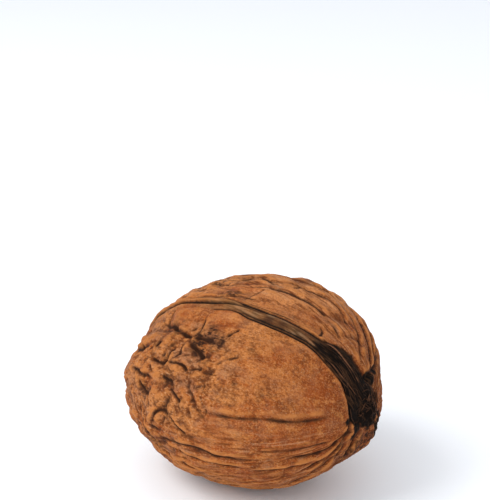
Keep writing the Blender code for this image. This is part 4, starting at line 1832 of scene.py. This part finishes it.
@dataclass
class HuskFibres:
    """The dry strands of husk in the bed, and the curls on the stem scar."""

    shell: WalnutShell
    finish: FibreFinish = field(default_factory=FibreFinish)
    steps: int = 20
    sides: int = 6
    fine_count: int = 12
    curl_count: int = 44
    seed: int = 11
    # Route, radius and tone
    leading: tuple[Strand, ...] = (
        Strand(((0.06, 5.2), (0.42, 6.7), (0.85, 7.8), (1.1, 8.8), (1.35, 9.8), (1.0, 10.5)), 0.11, 0.55),
        Strand(((-0.3, 5.6), (0.05, 6.9), (0.45, 8.0), (0.7, 9.1)), 0.06, 0.25),
        Strand(((-1.35, 4.3), (-1.40, 6.0), (-1.24, 7.4), (-1.02, 8.5), (-0.95, 9.6)), 0.09, 0.40),
        Strand(((-1.75, 4.9), (-1.72, 6.2), (-1.55, 7.4), (-1.36, 8.5), (-1.22, 9.4)), 0.07, 0.25),
        Strand(((-3.4, 0.6), (-3.5, 2.0), (-3.1, 3.3)), 0.08, 0.22),
        Strand(((2.3, 1.0), (2.6, 2.2), (2.2, 3.6), (1.9, 5.0)), 0.09, 0.32),
        Strand(((2.6, -0.6), (3.0, 0.6), (3.1, 1.8)), 0.08, 0.35),
    )

    def fine(self) -> list[Strand]:
        """Thin strands along the bed, each starting and ending at a random place.

        Returns:
            The strands.
        """
        rng = np.random.default_rng(self.seed)
        strands = []
        for share in np.linspace(0.12, 0.92, self.fine_count):
            up = np.linspace(rng.uniform(2.4, 5.5), rng.uniform(7.5, 11.0), 5)
            station, _ = self.shell.egg.angles_at(0 * up, up)
            near = between(station, self.shell.husk.near_edge)
            far = between(station, self.shell.husk.far_edge)
            across = near + share * (far - near) + rng.normal(0, 0.10, 5)
            radius, tone = rng.uniform(0.035, 0.06), rng.uniform(0.03, 0.24)
            strands.append(Strand(tuple(zip(across, up)), radius, tone, rng.uniform(0.02, 0.12)))
        return strands

    def curls(self) -> list[Strand]:
        """Short bent strands on the scar: arcs of random size and turn.

        Returns:
            The strands.
        """
        rng = np.random.default_rng(self.seed + 1)
        strands = []
        for _ in range(self.curl_count):
            middle = rng.normal((-0.2, 1.6), (1.2, 1.3))
            size, first = rng.uniform(0.5, 1.9), rng.uniform(0, 2 * math.pi)
            turn = first + np.linspace(0, rng.uniform(0.8, 1.7) / size**0.7, 5)
            across = middle[0] + size * (np.cos(turn) - math.cos(first))
            up = middle[1] + size * (np.sin(turn) - math.sin(first))
            radius, tone = rng.uniform(0.035, 0.07), rng.uniform(0.03, 0.36)
            strands.append(Strand(tuple(zip(across, up)), radius, tone, rng.uniform(0.05, 0.26)))
        return strands

    def centre_lines(self, strands: list[Strand]) -> tuple[Array, Array]:
        """Lays each strand's curve on the shell, lifted in its middle.

        Args:
            strands: The strands.

        Returns:
            The lines' points and the outward directions there: strand, step, then three numbers.
        """
        seen = np.stack([curve(np.array(strand.route, float), self.steps) for strand in strands])
        station, bearing = self.shell.egg.angles_at(seen[..., 0].ravel(), seen[..., 1].ravel())
        skin = Skin(self.shell.egg, station, bearing)
        height, _ = self.shell.relief(skin)
        bow = np.sin(np.linspace(0, math.pi, self.steps))
        lift = np.array([strand.lift for strand in strands])[:, None] * (0.3 + 0.7 * bow)
        lines = skin.points + skin.normals * (height + lift.ravel())[:, None]
        lines = self.smoothed(self.shell.lie.laid(lines).reshape(len(strands), self.steps, 3))
        outward = (skin.normals @ self.shell.lie.turn().T).reshape(lines.shape)
        return lines, outward

    def smoothed(self, lines: Array) -> Array:
        """Draws each inner point halfway to the mean of its neighbours, three times."""
        for _ in range(3):
            lines[:, 1:-1] = 0.5 * lines[:, 1:-1] + 0.25 * (lines[:, :-2] + lines[:, 2:])
        return lines

    def tubes(self, lines: Array, outward: Array, radius: Array) -> tuple[Array, Array]:
        """Sweeps a ring along each line, thinner at the ends, and closes both ends.

        Args:
            lines: The lines' points.
            outward: The outward directions there.
            radius: Each strand's radius.

        Returns:
            The points, and four point numbers for each face.
        """
        ahead = np.gradient(lines, axis=1)
        side = np.cross(ahead, outward)
        side /= np.linalg.norm(side, axis=2, keepdims=True)
        above = np.cross(side, ahead)
        above /= np.linalg.norm(above, axis=2, keepdims=True)
        taper = 0.25 + 0.75 * np.sin(np.linspace(0, math.pi, self.steps)) ** 0.5
        wide = (radius[:, None] * taper)[:, :, None, None]
        angle = np.arange(self.sides) * 2 * math.pi / self.sides
        ring = np.cos(angle)[:, None] * side[:, :, None] + np.sin(angle)[:, None] * above[:, :, None]
        points = lines[:, :, None] + wide * ring
        number = np.arange(points[..., 0].size).reshape(points.shape[:3])
        after = np.roll(number, -1, axis=2)
        walls = np.stack([number[:, :-1], after[:, :-1], after[:, 1:], number[:, 1:]], axis=-1).reshape(-1, 4)
        first, last = number[:, 0], number[:, -1, ::-1]
        caps = [end[:, corners] for end in (first, last) for corners in ([0, 5, 4, 3], [0, 3, 2, 1])]
        return points.reshape(-1, 3), np.concatenate([walls, *caps])

    def build(self, mottle: bpy.types.NodeTree) -> bpy.types.Object:
        """Makes all the strands as one piece and dresses it.

        Args:
            mottle: The shared dry mottle.

        Returns:
            The piece.
        """
        strands = [*self.leading, *self.fine(), *self.curls()]
        lines, outward = self.centre_lines(strands)
        points, quads = self.tubes(lines, outward, np.array([strand.radius for strand in strands]))
        mesh = mesh_of("husk_fibres", points, quads)
        hold(mesh, "tone", np.repeat([strand.tone for strand in strands], self.steps * self.sides))
        return dressed("husk_fibres", mesh, self.finish.material(mottle))


@dataclass(frozen=True)
class Studio:
    """A pale floor, soft light and a camera at the photograph's angle."""

    floor_side: float = 8.0
    floor_colour: Colour = (0.93, 0.96, 1.0)
    sky_colour: Colour = (0.96, 0.975, 1.0)
    sky_strength: float = 0.90
    camera_azimuth_deg: float = 36.0
    focal_px: float = 1388.9
    horizon_px: float = 426.0
    nut_px: tuple[float, float] = (255.46, 380.72)
    nut_depth: float = 208.517
    lens_mm: float = 100.0
    sensor_mm: float = 36.0
    aim: Place = (0, 0, 0.012)
    floor_roughness: float = 0.55
    floor_sheen: float = 0.3

    def floor(self) -> None:
        """Lays a wide level sheet at the height the nut rests on."""
        half = self.floor_side / 2 / MM
        corners = np.array([[-half, -half, 0], [half, -half, 0], [half, half, 0], [-half, half, 0]])
        mesh = mesh_of("floor", corners, np.array([[0, 1, 2, 3]]))
        material = bpy.data.materials.new("pale_floor")
        material.use_nodes = True
        surface = material.node_tree.nodes["Principled BSDF"]
        surface.inputs["Base Color"].default_value = (*self.floor_colour, 1.0)
        surface.inputs["Roughness"].default_value = self.floor_roughness
        surface.inputs["Specular IOR Level"].default_value = self.floor_sheen
        mesh.materials.append(material)
        sheet = bpy.data.objects.new("floor", mesh)
        bpy.context.scene.collection.objects.link(sheet)

    def lamp(self, name: str, place: Place, side: float, watts: float, colour: Colour) -> None:
        """Hangs a square soft light that faces the nut.

        Args:
            name: The light's name.
            place: Where it hangs, in metres.
            side: The length of its side, in metres.
            watts: Its power.
            colour: Its colour.
        """
        light = bpy.data.lights.new(name, "AREA")
        light.energy, light.size, light.color = watts, side, colour
        lamp = bpy.data.objects.new(name, light)
        lamp.location = place
        lamp.rotation_euler = (Vector(self.aim) - Vector(place)).to_track_quat("-Z", "Y").to_euler()
        bpy.context.scene.collection.objects.link(lamp)

    def light(self) -> None:
        """Sets the high soft light on the left, a low fill and the plain sky."""
        self.lamp("high_soft", (-0.26, -0.40, 0.52), side=0.45, watts=3.0, colour=(1.0, 0.985, 0.96))
        self.lamp("near_fill", (0.35, -0.55, 0.25), side=0.60, watts=1.2, colour=(0.97, 0.985, 1.0))
        sky = bpy.data.worlds.new("soft_sky")
        sky.use_nodes = True
        background = sky.node_tree.nodes["Background"]
        background.inputs["Color"].default_value = (*self.sky_colour, 1.0)
        background.inputs["Strength"].default_value = self.sky_strength
        bpy.context.scene.world = sky
        bpy.context.scene.view_settings.view_transform = "Standard"

    def camera(self, nut_centre: Array) -> None:
        """Sets the camera so that the nut's middle falls on its pixel of the photograph.

        Args:
            nut_centre: The nut's middle, in millimetres.
        """
        pitch = math.atan(self.horizon_px / self.focal_px)
        turn = math.radians(self.camera_azimuth_deg)
        level = math.cos(pitch)
        ahead = Vector((-math.sin(turn) * level, math.cos(turn) * level, -math.sin(pitch)))
        right = Vector((math.cos(turn), math.sin(turn), 0))
        above = right.cross(ahead)
        aside = (self.nut_px[0] - PHOTO_WIDTH / 2) * self.nut_depth / self.focal_px
        below = (self.nut_px[1] - PHOTO_HEIGHT / 2) * self.nut_depth / self.focal_px
        place = (Vector(nut_centre) - aside * right + below * above - self.nut_depth * ahead) * MM
        lens = bpy.data.cameras.new("photo_view")
        lens.lens, lens.sensor_width, lens.clip_start = self.lens_mm, self.sensor_mm, 0.005
        camera = bpy.data.objects.new("photo_view", lens)
        camera.matrix_world = Matrix(
            [[right[k], above[k], -ahead[k], place[k]] for k in range(3)] + [[0, 0, 0, 1]]
        )
        bpy.context.scene.collection.objects.link(camera)
        bpy.context.scene.camera = camera


def report(piece: bpy.types.Object) -> None:
    """Logs a piece's name and its number of triangles."""
    triangles = sum(len(face.vertices) - 2 for face in piece.data.polygons)
    LOG.info("%s: %d triangles", piece.name, triangles)


def main() -> None:
    """Builds the nut and the studio."""
    logging.basicConfig(level=logging.INFO, format="%(name)s: %(message)s")
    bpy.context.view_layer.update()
    mottle = dry_mottle_group()
    shell = WalnutShell()
    report(shell.build(mottle))
    report(HuskFibres(shell).build(mottle))
    studio = Studio()
    studio.floor()
    studio.light()
    studio.camera(shell.lie.centre())


if __name__ == "__main__":
    main()
